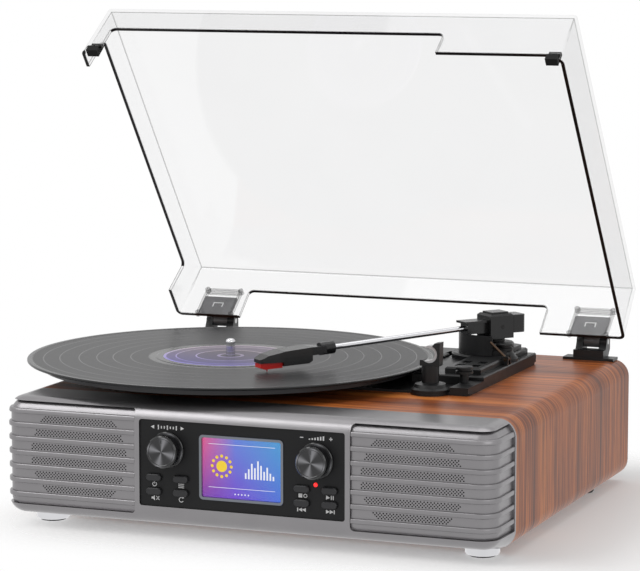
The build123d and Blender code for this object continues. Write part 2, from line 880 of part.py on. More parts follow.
# Speed switch: a slider with a ribbed cap in the block's slot
slider_y = slot_y - slot_length / 2 + slider_length / 2 + 1.5
with BuildPart() as speed_switch:
    with BuildSketch(Plane.XY.offset(plate_top + part_gap)):
        with Locations((slot_x, slider_y)):
            Rectangle(slot_width - 2 * part_gap, slider_length)
    extrude(amount=slider_top - plate_top - part_gap)
    chamfer(speed_switch.faces().sort_by(Axis.Z)[-1].edges(), 0.6)
    with BuildSketch(Plane.XY.offset(slider_top)):
        with Locations((slot_x, slider_y)):
            with GridLocations(0, 2.6, 1, 3):
                Rectangle(slot_width, 0.9)
    extrude(amount=-0.7, mode=Mode.SUBTRACT)
speed_switch.part.label = "speed_switch"
export_step(speed_switch.part, "parts/speed_switch.step")

# Spindle bush, pressed through the plate
with BuildPart() as spindle_bush:
    with BuildSketch(Plane.XY.offset(plate_top - spindle_depth + 4)):
        with Locations((spindle_x, spindle_y)):
            Circle(bush_radius)
            Circle(shaft_radius + shaft_gap, mode=Mode.SUBTRACT)
    extrude(amount=spindle_depth - 4)
spindle_bush.part.label = "spindle_bush"
export_step(spindle_bush.part, "parts/spindle_bush.step")

# Motor under the plate, with its pulley and the belt
with BuildPart() as motor:
    with BuildSketch(Plane.XY.offset(deck_height)):
        with Locations((motor_x, motor_y)):
            Circle(motor_radius)
    extrude(amount=-motor_height)
    chamfer(motor.faces().sort_by(Axis.Z)[0].edges(), 1.5)
    with BuildSketch(Plane.XY.offset(deck_height)):
        with Locations((motor_x, motor_y)):
            Circle(motor_shaft_radius + shaft_gap)
    extrude(amount=-12, mode=Mode.SUBTRACT)
motor.part.label = "motor"
export_step(motor.part, "parts/motor.step")

belt_mid = belt_ring_low + belt_ring_height / 2
pulley_half = belt_width / 2 + pulley_flange + 0.4
with BuildPart() as motor_pulley:
    with BuildSketch(Plane.XY.offset(belt_mid - pulley_half)):
        with Locations((motor_x, motor_y)):
            Circle(pulley_radius + 1.2)
    extrude(amount=pulley_flange)
    with BuildSketch(Plane.XY.offset(belt_mid + pulley_half)):
        with Locations((motor_x, motor_y)):
            Circle(pulley_radius + 1.2)
    extrude(amount=-pulley_flange)
    with BuildSketch(Plane.XY.offset(belt_mid - pulley_half)):
        with Locations((motor_x, motor_y)):
            Circle(pulley_radius)
    extrude(amount=2 * pulley_half)
    with BuildSketch(Plane.XY.offset(deck_height - 10)):
        with Locations((motor_x, motor_y)):
            Circle(motor_shaft_radius)
    extrude(amount=belt_mid - deck_height + 10)
motor_pulley.part.label = "motor_pulley"
export_step(motor_pulley.part, "parts/motor_pulley.step")


def belt_loop(extra):
    """The flat area inside a belt round the platter's ring and the pulley, grown by extra."""
    gap_x = motor_x - spindle_x
    gap_y = motor_y - spindle_y
    span = hypot(gap_x, gap_y)
    heading = atan2(gap_y, gap_x)
    big = belt_ring_radius + extra
    small = pulley_radius + extra
    lean = degrees(atan2(sqrt(span ** 2 - (big - small) ** 2), big - small))
    corners = []
    for side in (1, -1):
        turn = heading + side * radians(lean)
        near = (spindle_x + big * cos(turn), spindle_y + big * sin(turn))
        far = (motor_x + small * cos(turn), motor_y + small * sin(turn))
        corners.append((near, far))
    with BuildSketch() as loop:
        with Locations((spindle_x, spindle_y)):
            Circle(big)
        with Locations((motor_x, motor_y)):
            Circle(small)
        with BuildLine():
            Polyline(corners[0][0], corners[0][1], corners[1][1], corners[1][0], close=True)
        make_face()
    return loop.sketch


with BuildPart() as drive_belt:
    with BuildSketch(Plane.XY.offset(belt_mid - belt_width / 2)):
        add(belt_loop(part_gap + belt_thickness))
        add(belt_loop(part_gap), mode=Mode.SUBTRACT)
    extrude(amount=belt_width)
drive_belt.part.label = "drive_belt"
export_step(drive_belt.part, "parts/drive_belt.step")

# Platter: a dished wheel with a rim, a belt ring and a hub
with BuildPart() as platter:
    with BuildSketch(Plane(origin=(spindle_x, spindle_y, 0), x_dir=(1, 0, 0), z_dir=(0, -1, 0))):
        with BuildLine():
            Polyline(
                (shaft_radius, platter_top),
                (platter_radius - 0.6, platter_top),
                (platter_radius, platter_top - 0.6),
                (platter_radius, platter_low),
                (platter_radius - 4, platter_low),
                (platter_radius - 4, platter_top - platter_web),
                (belt_ring_radius, platter_top - platter_web),
                (belt_ring_radius, belt_ring_low),
                (belt_ring_radius - belt_ring_wall, belt_ring_low),
                (belt_ring_radius - belt_ring_wall, platter_top - platter_web),
                (platter_hub_radius, platter_top - platter_web),
                (platter_hub_radius, plate_top + part_gap),
                (shaft_radius, plate_top + part_gap),
                close=True,
            )
        make_face()
    revolve(axis=Axis((spindle_x, spindle_y, 0), (0, 0, 1)))
platter.part.label = "platter"
export_step(platter.part, "parts/platter.step")

with BuildPart() as slip_mat:
    with BuildSketch(Plane.XY.offset(platter_top)):
        with Locations((spindle_x, spindle_y)):
            Circle(mat_radius)
            Circle(shaft_radius + fit_gap, mode=Mode.SUBTRACT)
    extrude(amount=mat_thickness)
slip_mat.part.label = "slip_mat"
export_step(slip_mat.part, "parts/slip_mat.step")

with BuildPart() as spindle:
    with BuildSketch(Plane.XY.offset(plate_top - spindle_depth)):
        with Locations((spindle_x, spindle_y)):
            Circle(shaft_radius)
    extrude(amount=record_low - plate_top + spindle_depth)
    with BuildSketch(Plane.XY.offset(record_low)):
        with Locations((spindle_x, spindle_y)):
            Circle(spindle_radius)
    extrude(amount=spindle_top - record_low)
    fillet(spindle.faces().sort_by(Axis.Z)[-1].edges(), spindle_radius * 0.7)
spindle.part.label = "spindle"
export_step(spindle.part, "parts/spindle.step")

# Record: playing surface between a raised lead-in bead and the label's seat
with BuildPart() as record:
    with BuildSketch(Plane(origin=(spindle_x, spindle_y, 0), x_dir=(1, 0, 0), z_dir=(0, -1, 0))):
        with BuildLine():
            Polyline(
                (record_hole_radius, record_low),
                (record_radius - 0.6, record_low),
                (record_radius, record_low + 0.5),
                (record_radius, record_top - 0.5),
                (record_radius - 0.6, record_top),
                (record_radius - 3.0, record_top),
                (record_radius - 4.5, record_top - 0.3),
                (label_radius + 6, record_top - 0.3),
                (label_radius + 5, record_top),
                (label_radius, record_top),
                (label_radius, record_top - label_thickness),
                (record_hole_radius, record_top - label_thickness),
                close=True,
            )
        make_face()
    revolve(axis=Axis((spindle_x, spindle_y, 0), (0, 0, 1)))
record.part.label = "record"
export_step(record.part, "parts/record.step")

with BuildPart() as record_label:
    with BuildSketch(Plane.XY.offset(record_top - label_thickness)):
        with Locations((spindle_x, spindle_y)):
            Circle(label_radius)
            Circle(record_hole_radius, mode=Mode.SUBTRACT)
    extrude(amount=label_thickness)
record_label.part.label = "record_label"
export_step(record_label.part, "parts/record_label.step")

# Arm base: a stepped foot, a round tier and a turret with the arm's bearing
cue_heading = degrees(atan2(arm_dir.Y, arm_dir.X)) + 360 + 6
with BuildPart() as arm_base:
    base_mid_x = (base_low_left + base_low_right) / 2
    base_mid_y = (base_low_front + base_low_rear) / 2
    with BuildSketch(Plane.XY.offset(block_top)):
        with Locations((base_mid_x, base_mid_y)):
            Rectangle(base_low_right - base_low_left, base_low_rear - base_low_front)
    extrude(amount=base_low_top - block_top)
    with BuildSketch(Plane.XY.offset(block_top)):
        with Locations((pivot_x - 4, pivot_y)):
            Circle(base_mid_radius + 5.5)
        with Locations((block_right - 8, pivot_y)):
            Rectangle(24, 80, mode=Mode.SUBTRACT)
    extrude(amount=base_low_top - block_top)
    chamfer(arm_base.faces().sort_by(Axis.Z)[-1].edges(), 1.2)
    with BuildSketch(Plane.XY.offset(base_low_top)):
        with Locations((pivot_x, pivot_y)):
            Circle(base_mid_radius)
        with Locations((base_low_right + 8, pivot_y)):
            Rectangle(20, 60, mode=Mode.SUBTRACT)
    extrude(amount=base_mid_top - base_low_top)
    with BuildSketch(Plane.XY.offset(base_mid_top)):
        with Locations((pivot_x, pivot_y)):
            Circle(turret_radius)
    extrude(amount=turret_top - base_mid_top)
    chamfer(arm_base.faces().sort_by(Axis.Z)[-1].edges(), 1)
    with BuildSketch(Plane.XY.offset(base_low_top)):
        with Locations((base_mid_x, 20)):
            with GridLocations(12, 16, 2, 2):
                Rectangle(6, 9)
    extrude(amount=-2, mode=Mode.SUBTRACT)
    with BuildSketch(Plane.XY.offset(block_top - 6)):
        with Locations((pivot_x, pivot_y)):
            Circle(8.5)
    extrude(amount=6)
    with BuildSketch(Plane(origin=(dial_x, dial_y, 0), x_dir=(1, 0, 0), z_dir=(0, -1, 0))):
        with BuildLine():
            Polyline(
                (0, block_top),
                (dial_cone_radius, block_top),
                (dial_cone_radius, block_top + 2),
                (dial_radius - 0.8, dial_top - 5.2),
                (0, dial_top - 5.2),
                close=True,
            )
        make_face()
    revolve(axis=Axis((dial_x, dial_y, 0), (0, 0, 1)))
    add(rear_dial)
    with BuildSketch(Plane.XY.offset(turret_top)):
        with Locations((pivot_x, pivot_y)):
            Circle(arm_shaft_radius + shaft_gap)
    extrude(amount=-(turret_top - block_top + 4), mode=Mode.SUBTRACT)
    with BuildSketch(Plane.XY.offset(base_low_top)):
        with Locations((pivot_x, pivot_y)):
            with PolarLocations(
                (cue_wall_inner + cue_wall_outer) / 2, 1, start_angle=cue_heading
            ):
                Circle(cue_stem_radius + shaft_gap)
    extrude(amount=-4, mode=Mode.SUBTRACT)
    with BuildSketch(Plane.XY.offset(block_top)):
        with Locations(((base_low_right + block_right) / 2 - 0.5, lever_y)):
            with GridLocations(0, 2 * (lever_hub_half + part_gap) + lever_ear_thickness, 1, 2):
                Rectangle(block_right - base_low_right, lever_ear_thickness)
    extrude(amount=lever_ear_top - block_top)
    with BuildSketch(Plane(origin=(lever_x, lever_y, lever_z), x_dir=(1, 0, 0), z_dir=(0, 1, 0))):
        Circle(lever_pin_radius + shaft_gap)
    extrude(amount=lever_hub_half + lever_ear_thickness + 1, both=True, mode=Mode.SUBTRACT)
arm_base.part.label = "arm_base"
export_step(arm_base.part, "parts/arm_base.step")

# Cue platform: a curved wall round the pivot that lifts the arm, on a stem in the base
with BuildPart() as cue_platform:
    with BuildSketch(Plane.XY.offset(base_low_top + part_gap)):
        with Locations((pivot_x, pivot_y)):
            Circle(cue_wall_outer)
            Circle(cue_wall_inner, mode=Mode.SUBTRACT)
        with BuildLine():
            Polyline(
                (pivot_x, pivot_y),
                (pivot_x - 60, pivot_y + 6),
                (pivot_x - 60, pivot_y - 60),
                (pivot_x + 14, pivot_y - 60),
                close=True,
            )
        make_face(mode=Mode.INTERSECT)
    extrude(amount=cue_wall_top - base_low_top - part_gap)
    with BuildSketch(Plane.XY.offset(base_low_top + part_gap + 1)):
        with Locations((pivot_x, pivot_y)):
            with PolarLocations(
                (cue_wall_inner + cue_wall_outer) / 2, 1, start_angle=cue_heading
            ):
                Circle(cue_stem_radius)
    extrude(amount=-4.6)
cue_platform.part.label = "cue_platform"
export_step(cue_platform.part, "parts/cue_platform.step")

# Cue lever: a hub on the base's right side and a thin rod
lever_lean = degrees(atan2(lever_top_x - lever_x, lever_top_z - lever_z))
lever_length = hypot(lever_top_x - lever_x, lever_top_z - lever_z)
with BuildPart() as cue_lever:
    with BuildSketch(Plane(origin=(lever_x, lever_y, lever_z), x_dir=(1, 0, 0), z_dir=(0, 1, 0))):
        Circle(lever_pin_radius)
    extrude(amount=lever_hub_half + part_gap + lever_ear_thickness, both=True)
    with BuildSketch(Plane(origin=(lever_x, lever_y, lever_z), x_dir=(1, 0, 0), z_dir=(0, 1, 0))):
        Circle(lever_pin_radius + 0.6)
    extrude(amount=lever_hub_half, both=True)
    with BuildSketch(
        Plane(
            origin=(lever_x, lever_y, lever_z),
            x_dir=(0, 1, 0),
            z_dir=(sin(radians(lever_lean)), 0, cos(radians(lever_lean))),
        )
    ):
        Circle(lever_radius)
    extrude(amount=lever_length)
cue_lever.part.label = "cue_lever"
export_step(cue_lever.part, "parts/cue_lever.step")

# Arm yoke: a shaft in the base, a column and the cross pin that carries the arm
with BuildPart() as arm_yoke:
    with BuildSketch(Plane.XY.offset(block_top - 3)):
        with Locations((pivot_x, pivot_y)):
            Circle(arm_shaft_radius)
    extrude(amount=turret_top + part_gap - block_top + 3)
    with BuildSketch(Plane.XY.offset(turret_top + part_gap)):
        with Locations((pivot_x, pivot_y)):
            Circle(7)
    extrude(amount=1.6)
    with BuildSketch(arm_level(turret_top + part_gap + 1.6)):
        Rectangle(9, 2 * yoke_half_width)
    extrude(amount=pivot_z + 3.4 - turret_top - part_gap - 1.6)
    with BuildSketch(arm_upright()):
        with Locations((0, pivot_z)):
            Circle(arm_pin_radius)
    extrude(amount=housing_half_width, both=True)
arm_yoke.part.label = "arm_yoke"
export_step(arm_yoke.part, "parts/arm_yoke.step")

# Arm housing: a hollow box open below, a nose that grips the tube
with BuildPart() as arm_housing:
    box_mid = (housing_front - housing_back) / 2
    with BuildSketch(arm_level(housing_low)):
        with Locations((box_mid, 0)):
            Rectangle(housing_front + housing_back, 2 * housing_half_width)
    extrude(amount=housing_high - housing_low)
    chamfer(arm_housing.faces().sort_by(Axis.Z)[-1].edges(), 1.6)
    with BuildSketch(arm_level(housing_high)):
        with Locations((box_mid, 0)):
            Rectangle(housing_front + housing_back - 6, 2 * housing_half_width - 6)
    extrude(amount=1.2)
    with BuildSketch(arm_level(bracket_low)):
        with Locations(((housing_front + bracket_end) / 2 - 1, 0)):
            Rectangle(bracket_end - housing_front + 2, 2 * bracket_half_width)
    extrude(amount=bracket_high - bracket_low)
    with BuildSketch(arm_level(bracket_high)):
        with Locations(((housing_front + bracket_end) / 2 + 1.5, 0)):
            Rectangle(bracket_end - housing_front + 3, 2 * bracket_half_width + 3)
    extrude(amount=1.6)
    with BuildSketch(arm_level(housing_low)):
        with Locations((box_mid, 0)):
            Rectangle(
                housing_front + housing_back - 2 * housing_wall, 2 * (housing_half_width - housing_wall)
            )
    extrude(amount=housing_high - housing_wall - housing_low, mode=Mode.SUBTRACT)
    with BuildSketch(arm_upright()):
        with Locations((0, pivot_z)):
            Circle(arm_pin_radius + shaft_gap)
    extrude(amount=2 * housing_half_width, both=True, mode=Mode.SUBTRACT)
    with BuildSketch(
        Plane(
            origin=Vector(pivot_x, pivot_y, tube_z(housing_front + 3)) + arm_dir * (housing_front + 3),
            x_dir=arm_side,
            z_dir=arm_dir - Vector(0, 0, arm_slope),
        )
    ):
        Circle(tube_radius + 0.02)
    extrude(amount=bracket_end, mode=Mode.SUBTRACT)
arm_housing.part.label = "arm_housing"
export_step(arm_housing.part, "parts/arm_housing.step")

# Arm weight: the block behind the housing
with BuildPart() as arm_weight:
    with BuildSketch(arm_level(housing_low + 3.4)):
        with Locations((-housing_back - weight_length / 2, 0)):
            Rectangle(weight_length, 2 * weight_half_width)
    extrude(amount=housing_high - housing_low - 5)
    chamfer(arm_weight.edges().filter_by(Axis.Z), 1.5)
arm_weight.part.label = "arm_weight"
export_step(arm_weight.part, "parts/arm_weight.step")

# Arm tube and the collar where the head joins
tube_dir = arm_dir - Vector(0, 0, arm_slope)
with BuildPart() as arm_tube:
    with BuildSketch(
        Plane(
            origin=Vector(pivot_x, pivot_y, tube_z(housing_front + 3.2)) + arm_dir * (housing_front + 3.2),
            x_dir=arm_side,
            z_dir=tube_dir,
        )
    ):
        Circle(tube_radius)
    extrude(amount=(collar_start - housing_front) * sqrt(1 + arm_slope ** 2))
arm_tube.part.label = "arm_tube"
export_step(arm_tube.part, "parts/arm_tube.step")

# Head shell: a tapered moulding on a round collar
head_low = pivot_z - 9.6
cartridge_front = head_tip - 18.5
with BuildPart() as headshell:
    with BuildSketch(arm_upright()):
        with BuildLine():
            Polyline(
                (collar_end - 4, head_low + 0.6),
                (collar_end - 4, head_low + 5.6),
                (head_tip - 41.5, head_low + 6.4),
                (head_tip - 19.5, head_low + 5.0),
                (head_tip - 6.5, head_low + 2.6),
                (head_tip, head_low - 0.4),
                (head_tip, head_low - 2.8),
                (cartridge_front + 0.4, head_low - 2.8),
                (cartridge_front + 0.4, head_low),
                close=True,
            )
        make_face()
    extrude(amount=head_half_width, both=True)
    with BuildSketch(arm_level(100)):
        with BuildLine():
            Polyline(
                (collar_end - 5, -4.2),
                (head_tip - 41.5, -head_half_width),
                (head_tip - 14.5, -head_half_width),
                (head_tip - 2, -6),
                (head_tip, -4.5),
                (head_tip, 4.5),
                (head_tip - 2, 6),
                (head_tip - 14.5, head_half_width),
                (head_tip - 41.5, head_half_width),
                (collar_end - 5, 4.2),
                close=True,
            )
        make_face()
    extrude(amount=30, mode=Mode.INTERSECT)
    with BuildSketch(
        Plane(
            origin=Vector(pivot_x, pivot_y, tube_z(collar_start)) + arm_dir * collar_start,
            x_dir=arm_side,
            z_dir=tube_dir,
        )
    ):
        Circle(collar_radius)
    extrude(amount=collar_end - collar_start)
    with BuildSketch(
        Plane(
            origin=Vector(pivot_x, pivot_y, tube_z(collar_start - 1)) + arm_dir * (collar_start - 1),
            x_dir=arm_side,
            z_dir=tube_dir,
        )
    ):
        Circle(tube_radius + 0.02)
    extrude(amount=5.2, mode=Mode.SUBTRACT)
headshell.part.label = "headshell"
export_step(headshell.part, "parts/headshell.step")

# Cartridge under the head shell
with BuildPart() as cartridge:
    with BuildSketch(arm_upright()):
        with BuildLine():
            Polyline(
                (head_tip - 42.5, head_low),
                (head_tip - 42.5, head_low - 3.6),
                (head_tip - 39.5, head_low - 5.4),
                (cartridge_front, head_low - 6.0),
                (cartridge_front, head_low),
                close=True,
            )
        make_face()
    extrude(amount=6.5, both=True)
cartridge.part.label = "cartridge"
export_step(cartridge.part, "parts/cartridge.step")

# Stylus: a wedge in front of the cartridge, with the cantilever and its tip
with BuildPart() as stylus:
    with BuildSketch(arm_upright()):
        with BuildLine():
            Polyline(
                (cartridge_front, head_low - 3.2),
                (head_tip - 0.8, head_low - 3.2),
                (head_tip - 0.8, head_low - 6.4),
                (head_tip - 4, head_low - 7.6),
                (cartridge_front, head_low - 7.2),
                close=True,
            )
        make_face()
    extrude(amount=4.4, both=True)
    with BuildSketch(arm_level(record_top - 0.3 + tip_gap)):
        with Locations((arm_length, 0)):
            Rectangle(0.7, 0.7)
    extrude(amount=2.4)
stylus.part.label = "stylus"
export_step(stylus.part, "parts/stylus.step")

# Arm rest post: a flared foot, a column and a head with a round seat, open towards the record and upwards
seat_front = Plane(
    origin=(rest_x, rest_y - rest_head_depth / 2, rest_slot_z), x_dir=(1, 0, 0), z_dir=(0, -1, 0)
)
with BuildPart() as arm_rest_post:
    with BuildSketch(Plane(origin=(rest_x, rest_y, 0), x_dir=(1, 0, 0), z_dir=(0, -1, 0))):
        with BuildLine():
            Polyline(
                (0, plate_top),
                (rest_base_radius, plate_top),
                (rest_base_radius, plate_top + 2),
                (rest_base_radius - 2, plate_top + 3.2),
                (rest_base_radius - 3, plate_top + 5.6),
                (rest_column_radius, plate_top + 6.4),
                (rest_column_radius, rest_slot_z - clip_outer - 2),
                (0, rest_slot_z - clip_outer - 2),
                close=True,
            )
        make_face()
    revolve(axis=Axis((rest_x, rest_y, 0), (0, 0, 1)))
    with BuildSketch(seat_front):
        with BuildLine():
            Polyline(
                (-rest_column_radius - 0.6, -clip_outer - 2.2),
                (rest_column_radius + 1.6, -clip_outer - 2.2),
                (rest_column_radius + 2.2, rest_head_top - rest_slot_z),
                (rest_column_radius - 2, rest_head_top - rest_slot_z - 0.6),
                (tube_radius + 0.6, clip_outer),
                (tube_radius + 0.6, 0),
                (-rest_column_radius - 0.6, 0),
                close=True,
            )
        make_face()
        Circle(clip_outer + 0.05, mode=Mode.SUBTRACT)
        with Locations((-rest_column_radius - 1, 0)):
            Rectangle(2 * rest_column_radius, 2 * clip_inner, mode=Mode.SUBTRACT)
    extrude(amount=-rest_head_depth)
arm_rest_post.part.label = "arm_rest_post"
export_step(arm_rest_post.part, "parts/arm_rest_post.step")

# Arm rest clip: a springy split ring in the post's seat
with BuildPart() as arm_rest_clip:
    with BuildSketch(seat_front.offset(-1)):
        Circle(clip_outer)
        Circle(clip_inner, mode=Mode.SUBTRACT)
        mouth = clip_outer * sin(radians(clip_mouth / 2))
        with Locations((-clip_outer, 0)):
            Rectangle(2 * clip_outer, 2 * mouth, mode=Mode.SUBTRACT)
    extrude(amount=-(rest_head_depth - 2))
arm_rest_clip.part.label = "arm_rest_clip"
export_step(arm_rest_clip.part, "parts/arm_rest_clip.step")

# Lid: a tapered clear cover with notches for the overhanging record and for the space behind
lid_front_y = lid_rear_y - lid_length
lid_mid_y = (lid_front_y + lid_rear_y) / 2
side_wall = Plane(origin=(-lid_width / 2 - 2, lid_rear_y, lid_rim_z), x_dir=(0, -1, 0), z_dir=(-1, 0, 0))
front_wall = Plane(origin=(0, lid_front_y - 2, lid_rim_z), x_dir=(1, 0, 0), z_dir=(0, -1, 0))
rear_wall = Plane(origin=(0, lid_rear_y + 2, lid_rim_z), x_dir=(1, 0, 0), z_dir=(0, -1, 0))

with BuildPart() as shut_lid:
    with BuildSketch(Plane.XY.offset(lid_rim_z)):
        with Locations((0, lid_mid_y)):
            RectangleRounded(lid_width, lid_length, lid_corner_radius)
    extrude(amount=lid_height, taper=lid_draft)
    fillet(shut_lid.faces().sort_by(Axis.Z)[-1].edges(), lid_top_radius)
    with BuildSketch(Plane.XY.offset(lid_rim_z)):
        with Locations((0, lid_mid_y)):
            inner_corner = lid_corner_radius - lid_wall
            RectangleRounded(lid_width - 2 * lid_wall, lid_length - 2 * lid_wall, inner_corner)
    extrude(amount=lid_height - lid_wall, taper=lid_draft, mode=Mode.SUBTRACT)
    with BuildSketch(side_wall):
        with Locations(((side_notch_rear + side_notch_front) / 2, side_notch_height / 2 - notch_radius)):
            notch_length = side_notch_front - side_notch_rear
            RectangleRounded(notch_length, side_notch_height + 2 * notch_radius, notch_radius)
    extrude(amount=-3 * lid_wall - 2, mode=Mode.SUBTRACT)
    with BuildSketch(front_wall):
        with Locations(((front_notch_left + front_notch_right) / 2, front_notch_height / 2 - notch_radius)):
            notch_length = front_notch_right - front_notch_left
            RectangleRounded(notch_length, front_notch_height + 2 * notch_radius, notch_radius)
    extrude(amount=-3 * lid_wall - 2, mode=Mode.SUBTRACT)
    with BuildSketch(front_wall):
        with Locations((0, front_rim_lift / 2 - notch_radius)):
            RectangleRounded(lid_width - 2 * lid_wall - 2, front_rim_lift + 2 * notch_radius, 1)
    extrude(amount=-3 * lid_wall - 2, mode=Mode.SUBTRACT)
    with BuildSketch(rear_wall):
        with Locations(((rear_notch_left + rear_notch_right) / 2, rear_notch_height / 2 - notch_radius)):
            notch_length = rear_notch_right - rear_notch_left
            RectangleRounded(notch_length, rear_notch_height + 2 * notch_radius, notch_radius)
    extrude(amount=3 * lid_wall + 2, mode=Mode.SUBTRACT)

with BuildPart() as lid:
    add(opened(shut_lid.part))
lid.part.label = "lid"
export_step(lid.part, "parts/lid.step")

# Lid bumpers: soft blocks under the front rim, one at each end
bumper_x = lid_width / 2 - lid_wall - 1 - bumper_length / 2 - 1
with BuildPart() as shut_bumpers:
    with BuildSketch(Plane.XY.offset(deck_height + part_gap)):
        with Locations((-bumper_x, lid_front_y + 3), (bumper_x, lid_front_y + 3)):
            Rectangle(bumper_length, 6)
    extrude(amount=lid_rim_z + front_rim_lift - deck_height - part_gap)
    with BuildSketch(Plane.XY.offset(lid_rim_z + front_rim_lift)):
        with Locations((-bumper_x, lid_front_y + 4.6), (bumper_x, lid_front_y + 4.6)):
            Rectangle(bumper_length, 3)
    extrude(amount=6)

with BuildPart() as lid_bumpers:
    add(opened(shut_bumpers.part))
lid_bumpers.part.label = "lid_bumpers"
export_step(lid_bumpers.part, "parts/lid_bumpers.step")

# Hinges: a base with two knuckles on the deck's rear edge, a leaf on the lid's rear wall, and a pin
hinge_places = [(-hinge_x, 0), (hinge_x, 0)]
leaf_front = lid_rear_y + 0.2
web_front = leaf_front + leaf_thickness + part_gap
web_high = hinge_z - knuckle_radius - 2 * part_gap


def knuckle_plane(x):
    """An upright plane across the hinge line at that X, with its X back and its Y up."""
    return Plane(origin=(x, hinge_y, hinge_z), x_dir=(0, 1, 0), z_dir=(1, 0, 0))


with BuildPart() as hinge_bases:
    for x, _ in hinge_places:
        with BuildSketch(Plane.XY.offset(deck_height)):
            with Locations((x, (lid_rear_y + 1.6 + rear_y) / 2)):
                Rectangle(hinge_flange_width, rear_y - lid_rear_y - 1.6)
        extrude(amount=hinge_flange_thickness)
        with BuildSketch(Plane.XY.offset(deck_height)):
            with Locations((x, (web_front + rear_y) / 2)):
                Rectangle(2 * base_knuckle_half, rear_y - web_front)
        extrude(amount=web_high - deck_height)
        for side in (-1, 1):
            start = x + side * (leaf_knuckle_half + part_gap)
            with BuildSketch(knuckle_plane(start)):
                Circle(knuckle_radius)
                with BuildLine():
                    Polyline(
                        (-knuckle_radius, 0),
                        (knuckle_radius, 0),
                        (knuckle_radius, -knuckle_radius - 1),
                        (rear_y - hinge_y, deck_height - hinge_z),
                        (rear_y - hinge_y - 10, deck_height - hinge_z),
                        close=True,
                    )
                make_face()
                Circle(hinge_pin_radius, mode=Mode.SUBTRACT)
            extrude(amount=side * (base_knuckle_half - leaf_knuckle_half - part_gap))
hinge_bases.part.label = "hinge_bases"
export_step(hinge_bases.part, "parts/hinge_bases.step")

with BuildPart() as hinge_pins:
    for x, _ in hinge_places:
        with BuildSketch(knuckle_plane(x)):
            Circle(hinge_pin_radius)
        extrude(amount=base_knuckle_half, both=True)
hinge_pins.part.label = "hinge_pins"
export_step(hinge_pins.part, "parts/hinge_pins.step")

with BuildPart() as shut_leaves:
    for x, _ in hinge_places:
        with BuildSketch(Plane.XZ.offset(-leaf_front)):
            with Locations((x, (leaf_low_z + leaf_high_z) / 2)):
                RectangleRounded(leaf_width, leaf_high_z - leaf_low_z, 1)
        extrude(amount=-leaf_thickness)
        with BuildSketch(knuckle_plane(x)):
            Circle(knuckle_radius)
            with Locations(((leaf_front + leaf_thickness - hinge_y) / 2, 0)):
                Rectangle(hinge_y - leaf_front - leaf_thickness + 1, 4)
            Circle(hinge_pin_radius + shaft_gap, mode=Mode.SUBTRACT)
        extrude(amount=leaf_knuckle_half, both=True)

with BuildPart() as hinge_leaves:
    add(opened(shut_leaves.part))
hinge_leaves.part.label = "hinge_leaves"
export_step(hinge_leaves.part, "parts/hinge_leaves.step")
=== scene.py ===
"""The looks of the record player: materials, the fine grilles, the clear hinge sockets, printed symbols,
the display's picture, and a plain pale studio."""
import math

import bmesh
import bpy
from mathutils import Matrix, Vector


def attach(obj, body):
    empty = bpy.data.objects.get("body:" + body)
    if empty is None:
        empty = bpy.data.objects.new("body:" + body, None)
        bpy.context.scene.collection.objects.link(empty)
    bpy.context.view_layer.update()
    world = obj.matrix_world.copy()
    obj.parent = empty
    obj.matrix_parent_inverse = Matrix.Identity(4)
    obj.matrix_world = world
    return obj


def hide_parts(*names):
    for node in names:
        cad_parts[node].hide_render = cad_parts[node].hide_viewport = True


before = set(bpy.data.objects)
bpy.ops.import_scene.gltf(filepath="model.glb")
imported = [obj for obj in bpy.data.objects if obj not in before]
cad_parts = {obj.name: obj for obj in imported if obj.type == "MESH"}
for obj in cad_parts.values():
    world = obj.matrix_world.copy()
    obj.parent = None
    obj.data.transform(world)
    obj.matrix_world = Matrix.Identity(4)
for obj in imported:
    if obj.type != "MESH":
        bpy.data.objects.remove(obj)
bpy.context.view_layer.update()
MM = 0.001

# Sizes shared with the solids, in millimetres
DECK = 89.6
FRONT = -163.0
SPINDLE = (-73.4, -10.0)
FASCIA_FRONT = -161.8
LID_ANGLE = math.radians(52.3)
HINGE = (164.4, 102.6)
LID_REAR = 148.0
LID_RIM = 90.4
HINGE_X = 156.0
KNOB_X = 55.7
KNOB_Z = 59.6
FLOOR_Z = -0.0046


# Materials

def link(tree, a, b):
    tree.links.new(a, b)


def add_node(tree, kind, **values):
    node = tree.nodes.new(kind)
    for name, value in values.items():
        if name in node.inputs:
            node.inputs[name].default_value = value
        else:
            setattr(node, name, value)
    return node


def rgba(color):
    return (color[0], color[1], color[2], 1.0)


def srgb(r, g, b):
    """A linear colour from the 0 to 255 values that a screen shows."""
    out = []
    for v in (r, g, b):
        v = v / 255.0
        out.append(v / 12.92 if v <= 0.04045 else ((v + 0.055) / 1.055) ** 2.4)
    return tuple(out)


def base_material(name, color, rough, metallic=0.0, **sockets):
    m = bpy.data.materials.new(name)
    m.use_nodes = True
    shader = m.node_tree.nodes["Principled BSDF"]
    shader.inputs["Base Color"].default_value = rgba(color)
    shader.inputs["Roughness"].default_value = rough
    shader.inputs["Metallic"].default_value = metallic
    for socket, value in sockets.items():
        shader.inputs[socket.replace("_", " ")].default_value = value
    return m, m.node_tree, shader


